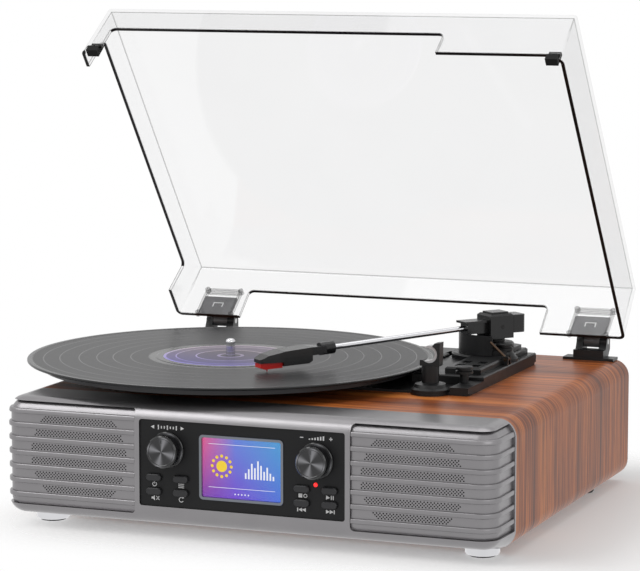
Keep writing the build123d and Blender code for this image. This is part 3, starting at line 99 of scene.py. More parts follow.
def surface(name, color, rough, metallic=0.0, tone=0.08, tone_scale=45.0, grain=0.00002, grain_scale=2600.0,
            wear=0.05, **sockets):
    """A moulded, painted or rolled surface: slight colour drift, uneven roughness and a fine grain."""
    m, tree, shader = base_material(name, color, rough, metallic, **sockets)
    coord = add_node(tree, "ShaderNodeTexCoord")
    drift = add_node(tree, "ShaderNodeTexNoise", Scale=tone_scale, Detail=3.0)
    link(tree, coord.outputs["Object"], drift.inputs["Vector"])
    ramp = add_node(tree, "ShaderNodeValToRGB")
    ramp.color_ramp.elements[0].position = 0.3
    ramp.color_ramp.elements[1].position = 0.7
    ramp.color_ramp.elements[0].color = rgba([c * (1 - tone) for c in color])
    ramp.color_ramp.elements[1].color = rgba([min(1, c * (1 + tone)) for c in color])
    link(tree, drift.outputs["Fac"], ramp.inputs["Fac"])
    link(tree, ramp.outputs["Color"], shader.inputs["Base Color"])
    smear = add_node(tree, "ShaderNodeTexNoise", Scale=tone_scale * 2.3, Detail=5.0)
    link(tree, coord.outputs["Object"], smear.inputs["Vector"])
    span = add_node(tree, "ShaderNodeMapRange")
    span.inputs["To Min"].default_value = max(0.02, rough - wear)
    span.inputs["To Max"].default_value = min(1.0, rough + wear)
    link(tree, smear.outputs["Fac"], span.inputs["Value"])
    link(tree, span.outputs["Result"], shader.inputs["Roughness"])
    if grain:
        speck = add_node(tree, "ShaderNodeTexNoise", Scale=grain_scale, Detail=2.0)
        link(tree, coord.outputs["Object"], speck.inputs["Vector"])
        bump = add_node(tree, "ShaderNodeBump", Distance=grain, Strength=0.6)
        link(tree, speck.outputs["Fac"], bump.inputs["Height"])
        link(tree, bump.outputs["Normal"], shader.inputs["Normal"])
    return m


def walnut():
    """Wrapped veneer whose grain runs across the top and down the sides."""
    m, tree, shader = base_material("walnut_veneer", (0.3, 0.12, 0.05), 0.38, Specular_IOR_Level=0.22)
    coord = add_node(tree, "ShaderNodeTexCoord")
    stretch = add_node(tree, "ShaderNodeMapping")
    stretch.inputs["Scale"].default_value = (1.3, 17.0, 1.3)
    link(tree, coord.outputs["Object"], stretch.inputs["Vector"])
    bands = add_node(tree, "ShaderNodeTexNoise", Scale=1.0, Detail=5.0, Roughness=0.6, Distortion=1.3)
    link(tree, stretch.outputs["Vector"], bands.inputs["Vector"])
    fine = add_node(tree, "ShaderNodeMapping")
    fine.inputs["Scale"].default_value = (5.0, 330.0, 5.0)
    link(tree, coord.outputs["Object"], fine.inputs["Vector"])
    lines = add_node(tree, "ShaderNodeTexNoise", Scale=1.0, Detail=6.0, Roughness=0.68, Distortion=0.35)
    link(tree, fine.outputs["Vector"], lines.inputs["Vector"])
    pore = add_node(tree, "ShaderNodeMapping")
    pore.inputs["Scale"].default_value = (40.0, 1700.0, 40.0)
    link(tree, coord.outputs["Object"], pore.inputs["Vector"])
    pores = add_node(tree, "ShaderNodeTexNoise", Scale=1.0, Detail=2.0)
    link(tree, pore.outputs["Vector"], pores.inputs["Vector"])
    tone = add_node(tree, "ShaderNodeValToRGB")
    tone.color_ramp.elements[0].position = 0.34
    tone.color_ramp.elements[0].color = rgba(srgb(112, 58, 32))
    tone.color_ramp.elements[1].position = 0.68
    tone.color_ramp.elements[1].color = rgba(srgb(224, 138, 66))
    middle = tone.color_ramp.elements.new(0.5)
    middle.color = rgba(srgb(184, 102, 46))
    link(tree, bands.outputs["Fac"], tone.inputs["Fac"])
    dark = add_node(tree, "ShaderNodeValToRGB")
    dark.color_ramp.elements[0].position = 0.40
    dark.color_ramp.elements[0].color = rgba(srgb(140, 112, 98))
    dark.color_ramp.elements[1].position = 0.56
    dark.color_ramp.elements[1].color = (1, 1, 1, 1)
    link(tree, lines.outputs["Fac"], dark.inputs["Fac"])
    mix = add_node(tree, "ShaderNodeMix", data_type="RGBA", blend_type="MULTIPLY")
    mix.inputs["Factor"].default_value = 0.85
    link(tree, tone.outputs["Color"], mix.inputs["A"])
    link(tree, dark.outputs["Color"], mix.inputs["B"])
    flecks = add_node(tree, "ShaderNodeValToRGB")
    flecks.color_ramp.elements[0].position = 0.60
    flecks.color_ramp.elements[0].color = (1, 1, 1, 1)
    flecks.color_ramp.elements[1].position = 0.70
    flecks.color_ramp.elements[1].color = rgba(srgb(150, 120, 108))
    link(tree, pores.outputs["Fac"], flecks.inputs["Fac"])
    flecked = add_node(tree, "ShaderNodeMix", data_type="RGBA", blend_type="MULTIPLY")
    flecked.inputs["Factor"].default_value = 0.9
    link(tree, mix.outputs["Result"], flecked.inputs["A"])
    link(tree, flecks.outputs["Color"], flecked.inputs["B"])
    link(tree, flecked.outputs["Result"], shader.inputs["Base Color"])
    bump = add_node(tree, "ShaderNodeBump", Distance=0.00004, Strength=0.5)
    link(tree, pores.outputs["Fac"], bump.inputs["Height"])
    link(tree, bump.outputs["Normal"], shader.inputs["Normal"])
    return m


def radial_height(tree, coord, centre, scale, detail):
    """Noise that varies only with the distance from a vertical axis at centre, in metres."""
    shift = add_node(tree, "ShaderNodeVectorMath", operation="SUBTRACT")
    shift.inputs[1].default_value = (centre[0] * MM, centre[1] * MM, 0)
    link(tree, coord.outputs["Object"], shift.inputs[0])
    flat = add_node(tree, "ShaderNodeVectorMath", operation="MULTIPLY")
    flat.inputs[1].default_value = (1, 1, 0)
    link(tree, shift.outputs["Vector"], flat.inputs[0])
    length = add_node(tree, "ShaderNodeVectorMath", operation="LENGTH")
    link(tree, flat.outputs["Vector"], length.inputs[0])
    rings = add_node(tree, "ShaderNodeTexNoise", noise_dimensions="1D", Scale=scale, Detail=detail)
    link(tree, length.outputs["Value"], rings.inputs["W"])
    return length, rings


def vinyl():
    """Pressed vinyl: fine grooves, with smoother rings between the tracks and round the edge."""
    m, tree, shader = base_material("vinyl", (0.012, 0.012, 0.013), 0.28, Specular_IOR_Level=0.25)
    coord = add_node(tree, "ShaderNodeTexCoord")
    length, rings = radial_height(tree, coord, SPINDLE, 900.0, 4.0)
    bump = add_node(tree, "ShaderNodeBump", Distance=0.00001, Strength=0.3)
    link(tree, rings.outputs["Fac"], bump.inputs["Height"])
    link(tree, bump.outputs["Normal"], shader.inputs["Normal"])
    tracks = add_node(tree, "ShaderNodeValToRGB")
    tracks.color_ramp.interpolation = "LINEAR"
    span = add_node(tree, "ShaderNodeMapRange")
    span.inputs["From Min"].default_value = 0.05
    span.inputs["From Max"].default_value = 0.1508
    link(tree, length.outputs["Value"], span.inputs["Value"])
    link(tree, span.outputs["Result"], tracks.inputs["Fac"])
    marks = [(0.0, 0.24), (0.1, 0.24), (0.115, 0.38)]
    for gap in (0.24, 0.37, 0.49, 0.62, 0.76, 0.88):
        marks += [(gap - 0.006, 0.38), (gap, 0.22), (gap + 0.006, 0.38)]
    marks += [(0.955, 0.38), (0.965, 0.26), (1.0, 0.24)]
    ramp = tracks.color_ramp
    ramp.elements[0].position = marks[0][0]
    ramp.elements[0].color = (marks[0][1],) * 3 + (1,)
    ramp.elements[1].position = marks[-1][0]
    ramp.elements[1].color = (marks[-1][1],) * 3 + (1,)
    for place, value in marks[1:-1]:
        ramp.elements.new(place).color = (value,) * 3 + (1,)
    link(tree, tracks.outputs["Color"], shader.inputs["Roughness"])
    return m


def label_paper():
    """The record's label: lavender-grey paper with rings and a plain two-tone field."""
    m, tree, shader = base_material("label_print", (0.4, 0.38, 0.48), 0.45)
    coord = add_node(tree, "ShaderNodeTexCoord")
    length, _ = radial_height(tree, coord, SPINDLE, 60.0, 1.0)
    span = add_node(tree, "ShaderNodeMapRange")
    span.inputs["From Max"].default_value = 0.05
    link(tree, length.outputs["Value"], span.inputs["Value"])
    ramp = add_node(tree, "ShaderNodeValToRGB")
    link(tree, span.outputs["Result"], ramp.inputs["Fac"])
    ramp.color_ramp.interpolation = "CONSTANT"
    shades = [(0.0, srgb(70, 66, 76)), (0.15, srgb(200, 196, 206)), (0.2, srgb(96, 90, 106)),
              (0.5, srgb(236, 232, 238)), (0.52, srgb(120, 114, 132)), (0.8, srgb(240, 236, 242)),
              (0.82, srgb(138, 130, 150)), (0.955, srgb(244, 240, 246))]
    ramp.color_ramp.elements[0].color = rgba(shades[0][1])
    ramp.color_ramp.elements[1].position = shades[-1][0]
    ramp.color_ramp.elements[1].color = rgba(shades[-1][1])
    for place, color in shades[1:-1]:
        ramp.color_ramp.elements.new(place).color = rgba(color)
    split = add_node(tree, "ShaderNodeSeparateXYZ")
    link(tree, coord.outputs["Object"], split.inputs["Vector"])
    across = add_node(tree, "ShaderNodeMapRange")
    across.inputs["From Min"].default_value = (SPINDLE[1] - 40) * MM
    across.inputs["From Max"].default_value = (SPINDLE[1] + 20) * MM
    link(tree, split.outputs["Y"], across.inputs["Value"])
    halves = add_node(tree, "ShaderNodeValToRGB")
    halves.color_ramp.elements[0].color = rgba(srgb(146, 136, 226))
    halves.color_ramp.elements[1].color = rgba(srgb(214, 202, 208))
    link(tree, across.outputs["Result"], halves.inputs["Fac"])
    tinted = add_node(tree, "ShaderNodeMix", data_type="RGBA", blend_type="MULTIPLY")
    tinted.inputs["Factor"].default_value = 1.0
    link(tree, ramp.outputs["Color"], tinted.inputs["A"])
    link(tree, halves.outputs["Color"], tinted.inputs["B"])
    link(tree, tinted.outputs["Result"], shader.inputs["Base Color"])
    fibre = add_node(tree, "ShaderNodeTexNoise", Scale=2200.0, Detail=3.0)
    link(tree, coord.outputs["Object"], fibre.inputs["Vector"])
    bump = add_node(tree, "ShaderNodeBump", Distance=0.00002, Strength=0.4)
    link(tree, fibre.outputs["Fac"], bump.inputs["Height"])
    link(tree, bump.outputs["Normal"], shader.inputs["Normal"])
    return m


def clear_plastic(name, tint, shine_most=0.35, edge_shade_radius=0.0, edge_shade_most=0.35, shade_rim_faces=False):
    """Thin clear plastic: it passes light straight, shines at a glancing angle and has painted shade on its
    cut edges.
    """
    m = bpy.data.materials.new(name)
    m.use_nodes = True
    tree = m.node_tree
    tree.nodes.remove(tree.nodes["Principled BSDF"])
    out = tree.nodes["Material Output"]
    through = add_node(tree, "ShaderNodeBsdfTransparent")
    coord = add_node(tree, "ShaderNodeTexCoord")
    haze = add_node(tree, "ShaderNodeTexNoise", Scale=14.0, Detail=2.0)
    link(tree, coord.outputs["Object"], haze.inputs["Vector"])
    ramp = add_node(tree, "ShaderNodeValToRGB")
    ramp.color_ramp.elements[0].color = rgba([c * 0.985 for c in tint])
    ramp.color_ramp.elements[1].color = rgba(tint)
    link(tree, haze.outputs["Fac"], ramp.inputs["Fac"])
    link(tree, ramp.outputs["Color"], through.inputs["Color"])
    shine = add_node(tree, "ShaderNodeBsdfGlossy", Roughness=0.03)
    facing = add_node(tree, "ShaderNodeLayerWeight", Blend=0.3)
    amount = add_node(tree, "ShaderNodeMapRange")
    amount.inputs["From Min"].default_value = 0.3
    amount.inputs["To Min"].default_value = 0.03
    amount.inputs["To Max"].default_value = shine_most
    link(tree, facing.outputs["Facing"], amount.inputs["Value"])
    both = add_node(tree, "ShaderNodeMixShader")
    link(tree, amount.outputs["Result"], both.inputs[0])
    link(tree, through.outputs["BSDF"], both.inputs[1])
    link(tree, shine.outputs["BSDF"], both.inputs[2])
    if not edge_shade_radius:
        link(tree, both.outputs["Shader"], out.inputs["Surface"])
        return m
    # Painted shade: a near-black shader mixed in along the bevelled edges, and with the rim-face flag on
    # the lid's downward rim faces, so the cut edges read dark.
    bevel = add_node(tree, "ShaderNodeBevel", Radius=edge_shade_radius)
    bevel.samples = 6
    shape = add_node(tree, "ShaderNodeNewGeometry")
    turn = add_node(tree, "ShaderNodeVectorMath", operation="DOT_PRODUCT")
    link(tree, bevel.outputs["Normal"], turn.inputs[0])
    link(tree, shape.outputs["Normal"], turn.inputs[1])
    corner = add_node(tree, "ShaderNodeMapRange")
    corner.inputs["From Min"].default_value = 0.99
    corner.inputs["From Max"].default_value = 0.90
    corner.inputs["To Max"].default_value = edge_shade_most
    link(tree, turn.outputs["Value"], corner.inputs["Value"])
    along_shut = (0, math.sin(LID_ANGLE), math.cos(LID_ANGLE))
    lean = add_node(tree, "ShaderNodeVectorMath", operation="DOT_PRODUCT")
    lean.inputs[1].default_value = along_shut
    link(tree, coord.outputs["Normal"], lean.inputs[0])
    down = add_node(tree, "ShaderNodeMath", operation="LESS_THAN")
    down.inputs[1].default_value = -0.35
    link(tree, lean.outputs["Value"], down.inputs[0])
    height = add_node(tree, "ShaderNodeVectorMath", operation="DOT_PRODUCT")
    height.inputs[1].default_value = along_shut
    link(tree, coord.outputs["Object"], height.inputs[0])
    lowest = (HINGE[0] * along_shut[1] + HINGE[1] * along_shut[2] - HINGE[1] + LID_RIM) * MM
    below = add_node(tree, "ShaderNodeMath", operation="LESS_THAN")
    below.inputs[1].default_value = lowest + 0.034 if shade_rim_faces else -1.0
    link(tree, height.outputs["Value"], below.inputs[0])
    cut = add_node(tree, "ShaderNodeMath", operation="MULTIPLY")
    link(tree, down.outputs["Value"], cut.inputs[0])
    link(tree, below.outputs["Value"], cut.inputs[1])
    rim = add_node(tree, "ShaderNodeMath", operation="MAXIMUM")
    link(tree, corner.outputs["Result"], rim.inputs[0])
    link(tree, cut.outputs["Value"], rim.inputs[1])
    # The near-black shader of the painted edge shade.
    edge = add_node(tree, "ShaderNodeBsdfPrincipled", Roughness=0.2)
    edge.inputs["Base Color"].default_value = (0.012, 0.010, 0.010, 1)
    edge.inputs["Specular IOR Level"].default_value = 0.15
    with_edge_shade = add_node(tree, "ShaderNodeMixShader")
    link(tree, rim.outputs["Value"], with_edge_shade.inputs[0])
    link(tree, both.outputs["Shader"], with_edge_shade.inputs[1])
    link(tree, edge.outputs["BSDF"], with_edge_shade.inputs[2])
    link(tree, with_edge_shade.outputs["Shader"], out.inputs["Surface"])
    return m


def knob_with_painted_sheen(name, centre):
    """A glossy black knob with a spun metal face, which carries a painted highlight: four bright wedges of
    sheen in its base colour.
    """
    m, tree, shader = base_material(name, (0.01, 0.01, 0.011), 0.16, 0.0)
    coord = add_node(tree, "ShaderNodeTexCoord")
    shift = add_node(tree, "ShaderNodeVectorMath", operation="SUBTRACT")
    shift.inputs[1].default_value = (centre[0] * MM, 0, centre[1] * MM)
    link(tree, coord.outputs["Object"], shift.inputs[0])
    split = add_node(tree, "ShaderNodeSeparateXYZ")
    link(tree, shift.outputs["Vector"], split.inputs["Vector"])
    # Painted highlight: four wedges of sheen, fixed to the knob, drawn into the face's base colour from the
    # angle about its centre.
    angle = add_node(tree, "ShaderNodeMath", operation="ARCTAN2")
    link(tree, split.outputs["Z"], angle.inputs[0])
    link(tree, split.outputs["X"], angle.inputs[1])
    twice = add_node(tree, "ShaderNodeMath", operation="MULTIPLY_ADD")
    twice.inputs[1].default_value = 2.0
    twice.inputs[2].default_value = 0.5
    link(tree, angle.outputs["Value"], twice.inputs[0])
    wave = add_node(tree, "ShaderNodeMath", operation="COSINE")
    link(tree, twice.outputs["Value"], wave.inputs[0])
    size = add_node(tree, "ShaderNodeMath", operation="ABSOLUTE")
    link(tree, wave.outputs["Value"], size.inputs[0])
    sharp = add_node(tree, "ShaderNodeMath", operation="POWER")
    sharp.inputs[1].default_value = 6.0
    link(tree, size.outputs["Value"], sharp.inputs[0])
    # The painted highlight's colours: dark between the wedges, bright in them.
    tone = add_node(tree, "ShaderNodeValToRGB")
    tone.color_ramp.elements[0].color = rgba(srgb(34, 34, 36))
    tone.color_ramp.elements[1].color = rgba(srgb(150, 150, 154))
    link(tree, sharp.outputs["Value"], tone.inputs["Fac"])
    shape = add_node(tree, "ShaderNodeNewGeometry")
    side = add_node(tree, "ShaderNodeSeparateXYZ")
    link(tree, shape.outputs["Normal"], side.inputs["Vector"])
    face = add_node(tree, "ShaderNodeMath", operation="LESS_THAN")
    face.inputs[1].default_value = -0.98
    link(tree, side.outputs["Y"], face.inputs[0])
    mix = add_node(tree, "ShaderNodeMix", data_type="RGBA")
    mix.inputs["A"].default_value = (0.012, 0.012, 0.013, 1)
    link(tree, face.outputs["Value"], mix.inputs["Factor"])
    link(tree, tone.outputs["Color"], mix.inputs["B"])
    link(tree, mix.outputs["Result"], shader.inputs["Base Color"])
    rough = add_node(tree, "ShaderNodeMapRange")
    rough.inputs["To Min"].default_value = 0.12
    rough.inputs["To Max"].default_value = 0.38
    link(tree, face.outputs["Value"], rough.inputs["Value"])
    link(tree, rough.outputs["Result"], shader.inputs["Roughness"])
    turned = add_node(tree, "ShaderNodeVectorMath", operation="LENGTH")
    link(tree, shift.outputs["Vector"], turned.inputs[0])
    rings = add_node(tree, "ShaderNodeTexNoise", noise_dimensions="1D", Scale=4000.0, Detail=2.0)
    link(tree, turned.outputs["Value"], rings.inputs["W"])
    bump = add_node(tree, "ShaderNodeBump", Distance=0.00001, Strength=0.4)
    link(tree, rings.outputs["Fac"], bump.inputs["Height"])
    link(tree, bump.outputs["Normal"], shader.inputs["Normal"])
    return m


def screen_picture():
    """The display's backdrop: a plain blend of pink, blue and violet that glows a little."""
    m, tree, shader = base_material("screen_blend", (0.2, 0.2, 0.8), 0.2)
    coord = add_node(tree, "ShaderNodeTexCoord")
    split = add_node(tree, "ShaderNodeSeparateXYZ")
    link(tree, coord.outputs["Object"], split.inputs["Vector"])
    across = add_node(tree, "ShaderNodeMapRange")
    across.inputs["From Min"].default_value = -0.0295
    across.inputs["From Max"].default_value = 0.0295
    link(tree, split.outputs["X"], across.inputs["Value"])
    up = add_node(tree, "ShaderNodeMapRange")
    up.inputs["From Min"].default_value = 0.028
    up.inputs["From Max"].default_value = 0.071
    link(tree, split.outputs["Z"], up.inputs["Value"])
    lower = add_node(tree, "ShaderNodeValToRGB")
    upper = add_node(tree, "ShaderNodeValToRGB")
    for ramp, left, mid, right in ((lower, srgb(122, 40, 170), srgb(112, 60, 214), srgb(60, 110, 225)),
                                   (upper, srgb(232, 84, 140), srgb(96, 130, 226), srgb(60, 160, 218))):
        ramp.color_ramp.elements[0].color = rgba(left)
        ramp.color_ramp.elements[1].color = rgba(right)
        ramp.color_ramp.elements.new(0.42).color = rgba(mid)
        link(tree, across.outputs["Result"], ramp.inputs["Fac"])
    blend = add_node(tree, "ShaderNodeMix", data_type="RGBA")
    link(tree, up.outputs["Result"], blend.inputs["Factor"])
    link(tree, lower.outputs["Color"], blend.inputs["A"])
    link(tree, upper.outputs["Color"], blend.inputs["B"])
    link(tree, blend.outputs["Result"], shader.inputs["Emission Color"])
    shader.inputs["Emission Strength"].default_value = 0.85
    shader.inputs["Base Color"].default_value = (0.01, 0.01, 0.02, 1)
    return m


WALNUT = walnut()
GUNMETAL = surface("gunmetal_paint", srgb(140, 138, 140), 0.30, 0.85, tone=0.03, grain=0.000003,
                   grain_scale=3200.0)
MESH_PAINT = surface("grille_paint", srgb(138, 136, 138), 0.34, 0.85, tone=0.03, grain=0.000003,
                     grain_scale=3200.0)
# Near-black cloth with no shine: the dark cloth behind the grilles, and painted shade on the walls and
# floors of the grille holes.
CLOTH_AND_HOLE_SHADE = surface("speaker_cloth_and_hole_shade", (0.002, 0.002, 0.002), 0.95, grain=0.0001, grain_scale=1500.0,
                Specular_IOR_Level=0.0)
FASCIA = surface("fascia_black", srgb(30, 30, 31), 0.42, tone=0.05, Specular_IOR_Level=0.2)
BLACK = surface("moulded_black", srgb(20, 20, 21), 0.36, tone=0.1, Specular_IOR_Level=0.3)
BLACK_SATIN = surface("arm_black", srgb(22, 22, 23), 0.26, tone=0.1, grain=0.00001, Specular_IOR_Level=0.4)
PANEL = surface("rear_panel_black", srgb(30, 30, 31), 0.55, Specular_IOR_Level=0.3)
FRAME_METAL = surface("frame_metal", srgb(120, 124, 132), 0.3, 0.8, tone=0.03, grain=0.0)
CHROME = surface("chrome", (0.66, 0.66, 0.68), 0.07, 1.0, tone=0.04, grain=0.0, wear=0.04)
BRONZE = surface("lever_metal", (0.10, 0.065, 0.045), 0.22, 1.0, tone=0.1, grain=0.0)
STEEL = surface("steel", (0.5, 0.5, 0.5), 0.3, 1.0, tone=0.03)
BRASS = surface("brass", (0.7, 0.5, 0.22), 0.28, 1.0)
RUBBER = surface("rubber", (0.008, 0.008, 0.008), 0.75, grain=0.00004, Specular_IOR_Level=0.2)
MAT = surface("mat_rubber", (0.010, 0.010, 0.010), 0.7, grain=0.00005, grain_scale=1800.0,
              Specular_IOR_Level=0.2)
PLATTER = surface("platter_grey", (0.02, 0.02, 0.022), 0.4, 0.2)
BOARD = surface("circuit_board", srgb(20, 84, 48), 0.4)
CONE = surface("speaker_cone", (0.006, 0.006, 0.006), 0.9, Specular_IOR_Level=0.1)
TUNE_KNOB = knob_with_painted_sheen("tune_knob_painted_sheen", (-KNOB_X, KNOB_Z))
VOLUME_KNOB = knob_with_painted_sheen("volume_knob_painted_sheen", (KNOB_X, KNOB_Z))
BUTTON = surface("button_grey", srgb(46, 46, 48), 0.42, tone=0.05, Specular_IOR_Level=0.35)
HINGE_GREY = surface("hinge_grey", srgb(104, 104, 106), 0.35, tone=0.2, tone_scale=90.0)
HINGE_BLACK = surface("hinge_black", srgb(22, 22, 23), 0.38, Specular_IOR_Level=0.4)
RED = surface("red_plastic", srgb(214, 18, 12), 0.3, tone=0.05, grain=0.0)
CLIP = surface("clip_clear_grey", srgb(190, 190, 192), 0.2, tone=0.05, grain=0.0)
WHITE_INK = surface("white_ink", srgb(236, 236, 236), 0.5, tone=0.02, grain=0.0)
VINYL = vinyl()
LABEL = label_paper()
SCREEN = screen_picture()
WINDOW = clear_plastic("window_clear", (0.97, 0.97, 0.98), 0.15)
LID = clear_plastic("lid_clear", (0.972, 0.972, 0.973), 0.30, 0.0018, 0.6, True)
LAMP, _, lamp_shader = base_material("lamp_red", (0.8, 0.02, 0.02), 0.2)
lamp_shader.inputs["Emission Color"].default_value = (1.0, 0.03, 0.03, 1)
lamp_shader.inputs["Emission Strength"].default_value = 0.9

FINISH = {
    "cabinet_shell": WALNUT, "front_bezel": GUNMETAL, "left_grille": GUNMETAL, "right_grille": GUNMETAL,
    "control_fascia": FASCIA, "rear_panel": PANEL, "display_frame": FRAME_METAL, "display_window": WINDOW,
    "display_module": SCREEN, "status_lamp": LAMP, "control_board": BOARD, "main_board": BOARD,
    "encoders": STEEL, "left_speaker": CONE, "right_speaker": CONE, "front_foot_cups": CHROME,
    "rear_foot_cups": BLACK, "foot_pads": RUBBER, "rear_sockets": BLACK, "case_screws": STEEL,
    "mechanism_plate": BLACK, "arm_base": BLACK, "arm_rest_post": BLACK, "cue_platform": BLACK,
    "speed_switch": BLACK, "arm_housing": BLACK_SATIN, "spindle_bush": BRASS, "motor": STEEL,
    "motor_pulley": BRASS, "drive_belt": RUBBER, "platter": PLATTER, "slip_mat": MAT, "record": VINYL,
    "record_label": LABEL, "spindle": CHROME, "arm_tube": CHROME, "cue_lever": BRONZE, "arm_yoke": BLACK,
    "arm_weight": BLACK_SATIN, "headshell": BLACK_SATIN, "cartridge": BLACK_SATIN, "stylus": RED,
    "arm_rest_clip": CLIP, "tune_knob": TUNE_KNOB, "volume_knob": VOLUME_KNOB, "tune_shaft": STEEL,
    "volume_shaft": STEEL, "hinge_pins": STEEL, "lid": LID, "lid_bumpers": RUBBER,
    "hinge_bases": HINGE_BLACK, "hinge_leaves": HINGE_GREY,
}
for number in range(1, 9):
    FINISH["button_%d" % number] = BUTTON
for name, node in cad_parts.items():
    node.data.materials.clear()
    node.data.materials.append(FINISH[name])


# Mesh helpers

def make_piece(name, bm, material, body, smooth=None):
    """A finished piece from a bmesh in millimetres."""
    bmesh.ops.scale(bm, vec=(MM, MM, MM), verts=bm.verts)
    mesh = bpy.data.meshes.new(name)
    bm.to_mesh(mesh)
    bm.free()
    piece = bpy.data.objects.new(name, mesh)
    bpy.context.scene.collection.objects.link(piece)
    mesh.materials.append(material)
    if smooth:
        mesh.shade_smooth()
        mesh.set_sharp_from_angle(angle=math.radians(smooth))
    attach(piece, body)
    return piece


def flat_shape(bm, outline, y, depth):
    """A thin raised shape on an upright face: outline in X and Z, standing from y towards the front."""
    front = [bm.verts.new((x, y - depth, z)) for x, z in outline]
    back = [bm.verts.new((x, y, z)) for x, z in outline]
    bm.faces.new(front)
    n = len(outline)
    for i in range(n):
        j = (i + 1) % n
        bm.faces.new((front[j], front[i], back[i], back[j]))


def solid_shape(bm, outline, y, depth):
    """The same, closed at the back."""
    n = len(outline)
    first = len(bm.verts)
    flat_shape(bm, outline, y, depth)
    bm.verts.ensure_lookup_table()
    bm.faces.new([bm.verts[first + n + i] for i in reversed(range(n))])


def arc_points(x, z, r, start, end, steps):
    return [(x + r * math.cos(math.radians(start + (end - start) * i / steps)),
             z + r * math.sin(math.radians(start + (end - start) * i / steps))) for i in range(steps + 1)]


def ring_shape(x, z, r, width, start, end, steps=20):
    outer = arc_points(x, z, r + width / 2, start, end, steps)
    inner = arc_points(x, z, r - width / 2, end, start, steps)
    return outer + inner


def bar_shape(x, z, w, h):
    return [(x - w / 2, z - h / 2), (x + w / 2, z - h / 2), (x + w / 2, z + h / 2), (x - w / 2, z + h / 2)]


def triangle(x, z, size, facing):
    back, tip = x - facing * size / 2, x + facing * size / 2
    return [(back, z - size / 2), (tip, z), (back, z + size / 2)]


# Fine grilles that stand for the coarse ones

GRILLE_MID_X = 125.0
GRILLE_MID_Z = 49.8
RIM_GAP = 0.25
GRILLE_START_X = 80.7 + RIM_GAP
GRILLE_END_Y = -121.5 - RIM_GAP
GRILLE_LOW = 12.8 + RIM_GAP
GRILLE_HIGH = 86.8 - RIM_GAP
CORNER_X = 170.0
CORNER_Y = -148.0
CORNER_R = 15.0
EDGE_R = 12.6
BEZEL_REAR = -119.0
LIP_RISE = 7.0
SLOPE_STRETCH = 1.0125
RIB_PITCH = 10.0
RIB_HALF = 1.8
BAND_INSET = 2.0
RIM_INSET = 4.4
CLOTH_INSET = 3.4
HOLE_DEPTH = 0.6
HOLE_STEP = 2.44
HOLE_ROW = 1.2
HOLE_RADIUS = 0.56
FIELD_RADIUS = 37.5


def underside(y):
    """The height of the bezel's sloping underside at that depth."""
    return LIP_RISE * (BEZEL_REAR - y) / (BEZEL_REAR - FRONT)


def set_back(z, ball_y, inset):
    """How far the rounded top and bottom edges draw in at height z."""
    r = EDGE_R - inset
    over = max(z - (DECK - EDGE_R), underside(ball_y) + SLOPE_STRETCH * EDGE_R - z, 0.0)
    over = min(over, r)
    return r - math.sqrt(r * r - over * over)


def on_bezel(s, z, inset):
    """The point on the bezel's form, drawn in by inset, at height z and run s from the corner's start."""
    quarter = math.pi / 2 * CORNER_R
    if s <= 0:
        return CORNER_X + s, FRONT + inset + set_back(z, FRONT + EDGE_R, inset), z
    if s < quarter:
        a = s / CORNER_R
        r = CORNER_R - inset - set_back(z, CORNER_Y - (CORNER_R - EDGE_R) * math.cos(a), inset)
        return CORNER_X + r * math.sin(a), CORNER_Y - r * math.cos(a), z
    y = CORNER_Y + s - quarter
    return CORNER_X + CORNER_R - inset - set_back(z, y, inset), y, z


def grid_sheet(bm, runs, rows, side):
    """A sheet over runs along the bezel and rows of (height, inset)."""
    lines = []
    for z, inset in rows:
        line = []
        for s in runs:
            x, y, h = on_bezel(s, z, inset)
            line.append(bm.verts.new((side * x, y, h)))
        lines.append(line)
    for lower, upper in zip(lines, lines[1:]):
        for i in range(len(runs) - 1):
            corners = (lower[i], lower[i + 1], upper[i + 1], upper[i])
            bm.faces.new(corners if side > 0 else corners[::-1])


def full_runs():
    runs = [GRILLE_START_X - CORNER_X, GRILLE_START_X - CORNER_X + 0.4, -40.0, -10.0]
    quarter = math.pi / 2 * CORNER_R
    runs += [quarter * i / 20 for i in range(21)]
    end = quarter + GRILLE_END_Y - CORNER_Y
    return runs + [end - 0.4, end]


def hole_tile(bm, s0, s1, z0, z1, inset, side):
    """One tile of the perforated sheet: a square frame round an eight-sided hole with its wall and a closed
    floor, both in the second material: near-black painted shade for the dark inside of the hole.
    """
    sm, zm = (s0 + s1) / 2, (z0 + z1) / 2
    outer = [(s1, zm), (s1, z1), (sm, z1), (s0, z1), (s0, zm), (s0, z0), (sm, z0), (s1, z0)]
    inner = [(sm + HOLE_RADIUS * math.cos(math.pi / 4 * i), zm + HOLE_RADIUS * math.sin(math.pi / 4 * i))
             for i in range(8)]

    def vert(s, z, more=0.0):
        x, y, h = on_bezel(s, z, inset + more)
        return bm.verts.new((side * x, y, h))

    rim = [vert(*p) for p in outer]
    lip = [vert(*p) for p in inner]
    back = [vert(*p, HOLE_DEPTH) for p in inner]
    for i in range(8):
        j = (i + 1) % 8
        quad = (rim[i], rim[j], lip[j], lip[i])
        bm.faces.new(quad if side > 0 else quad[::-1])
        # Hole wall and floor: painted shade in the near-black cloth material.
        quad = (lip[i], lip[j], back[j], back[i])
        bm.faces.new(quad if side > 0 else quad[::-1]).material_index = 1
    bm.faces.new(back if side > 0 else back[::-1]).material_index = 1


def plain_tile(bm, s0, s1, z0, z1, inset, side):
    corners = []
    for s, z in ((s0, z0), (s1, z0), (s1, z1), (s0, z1)):
        x, y, h = on_bezel(s, z, inset)
        corners.append(bm.verts.new((side * x, y, h)))
    bm.faces.new(corners if side > 0 else corners[::-1])


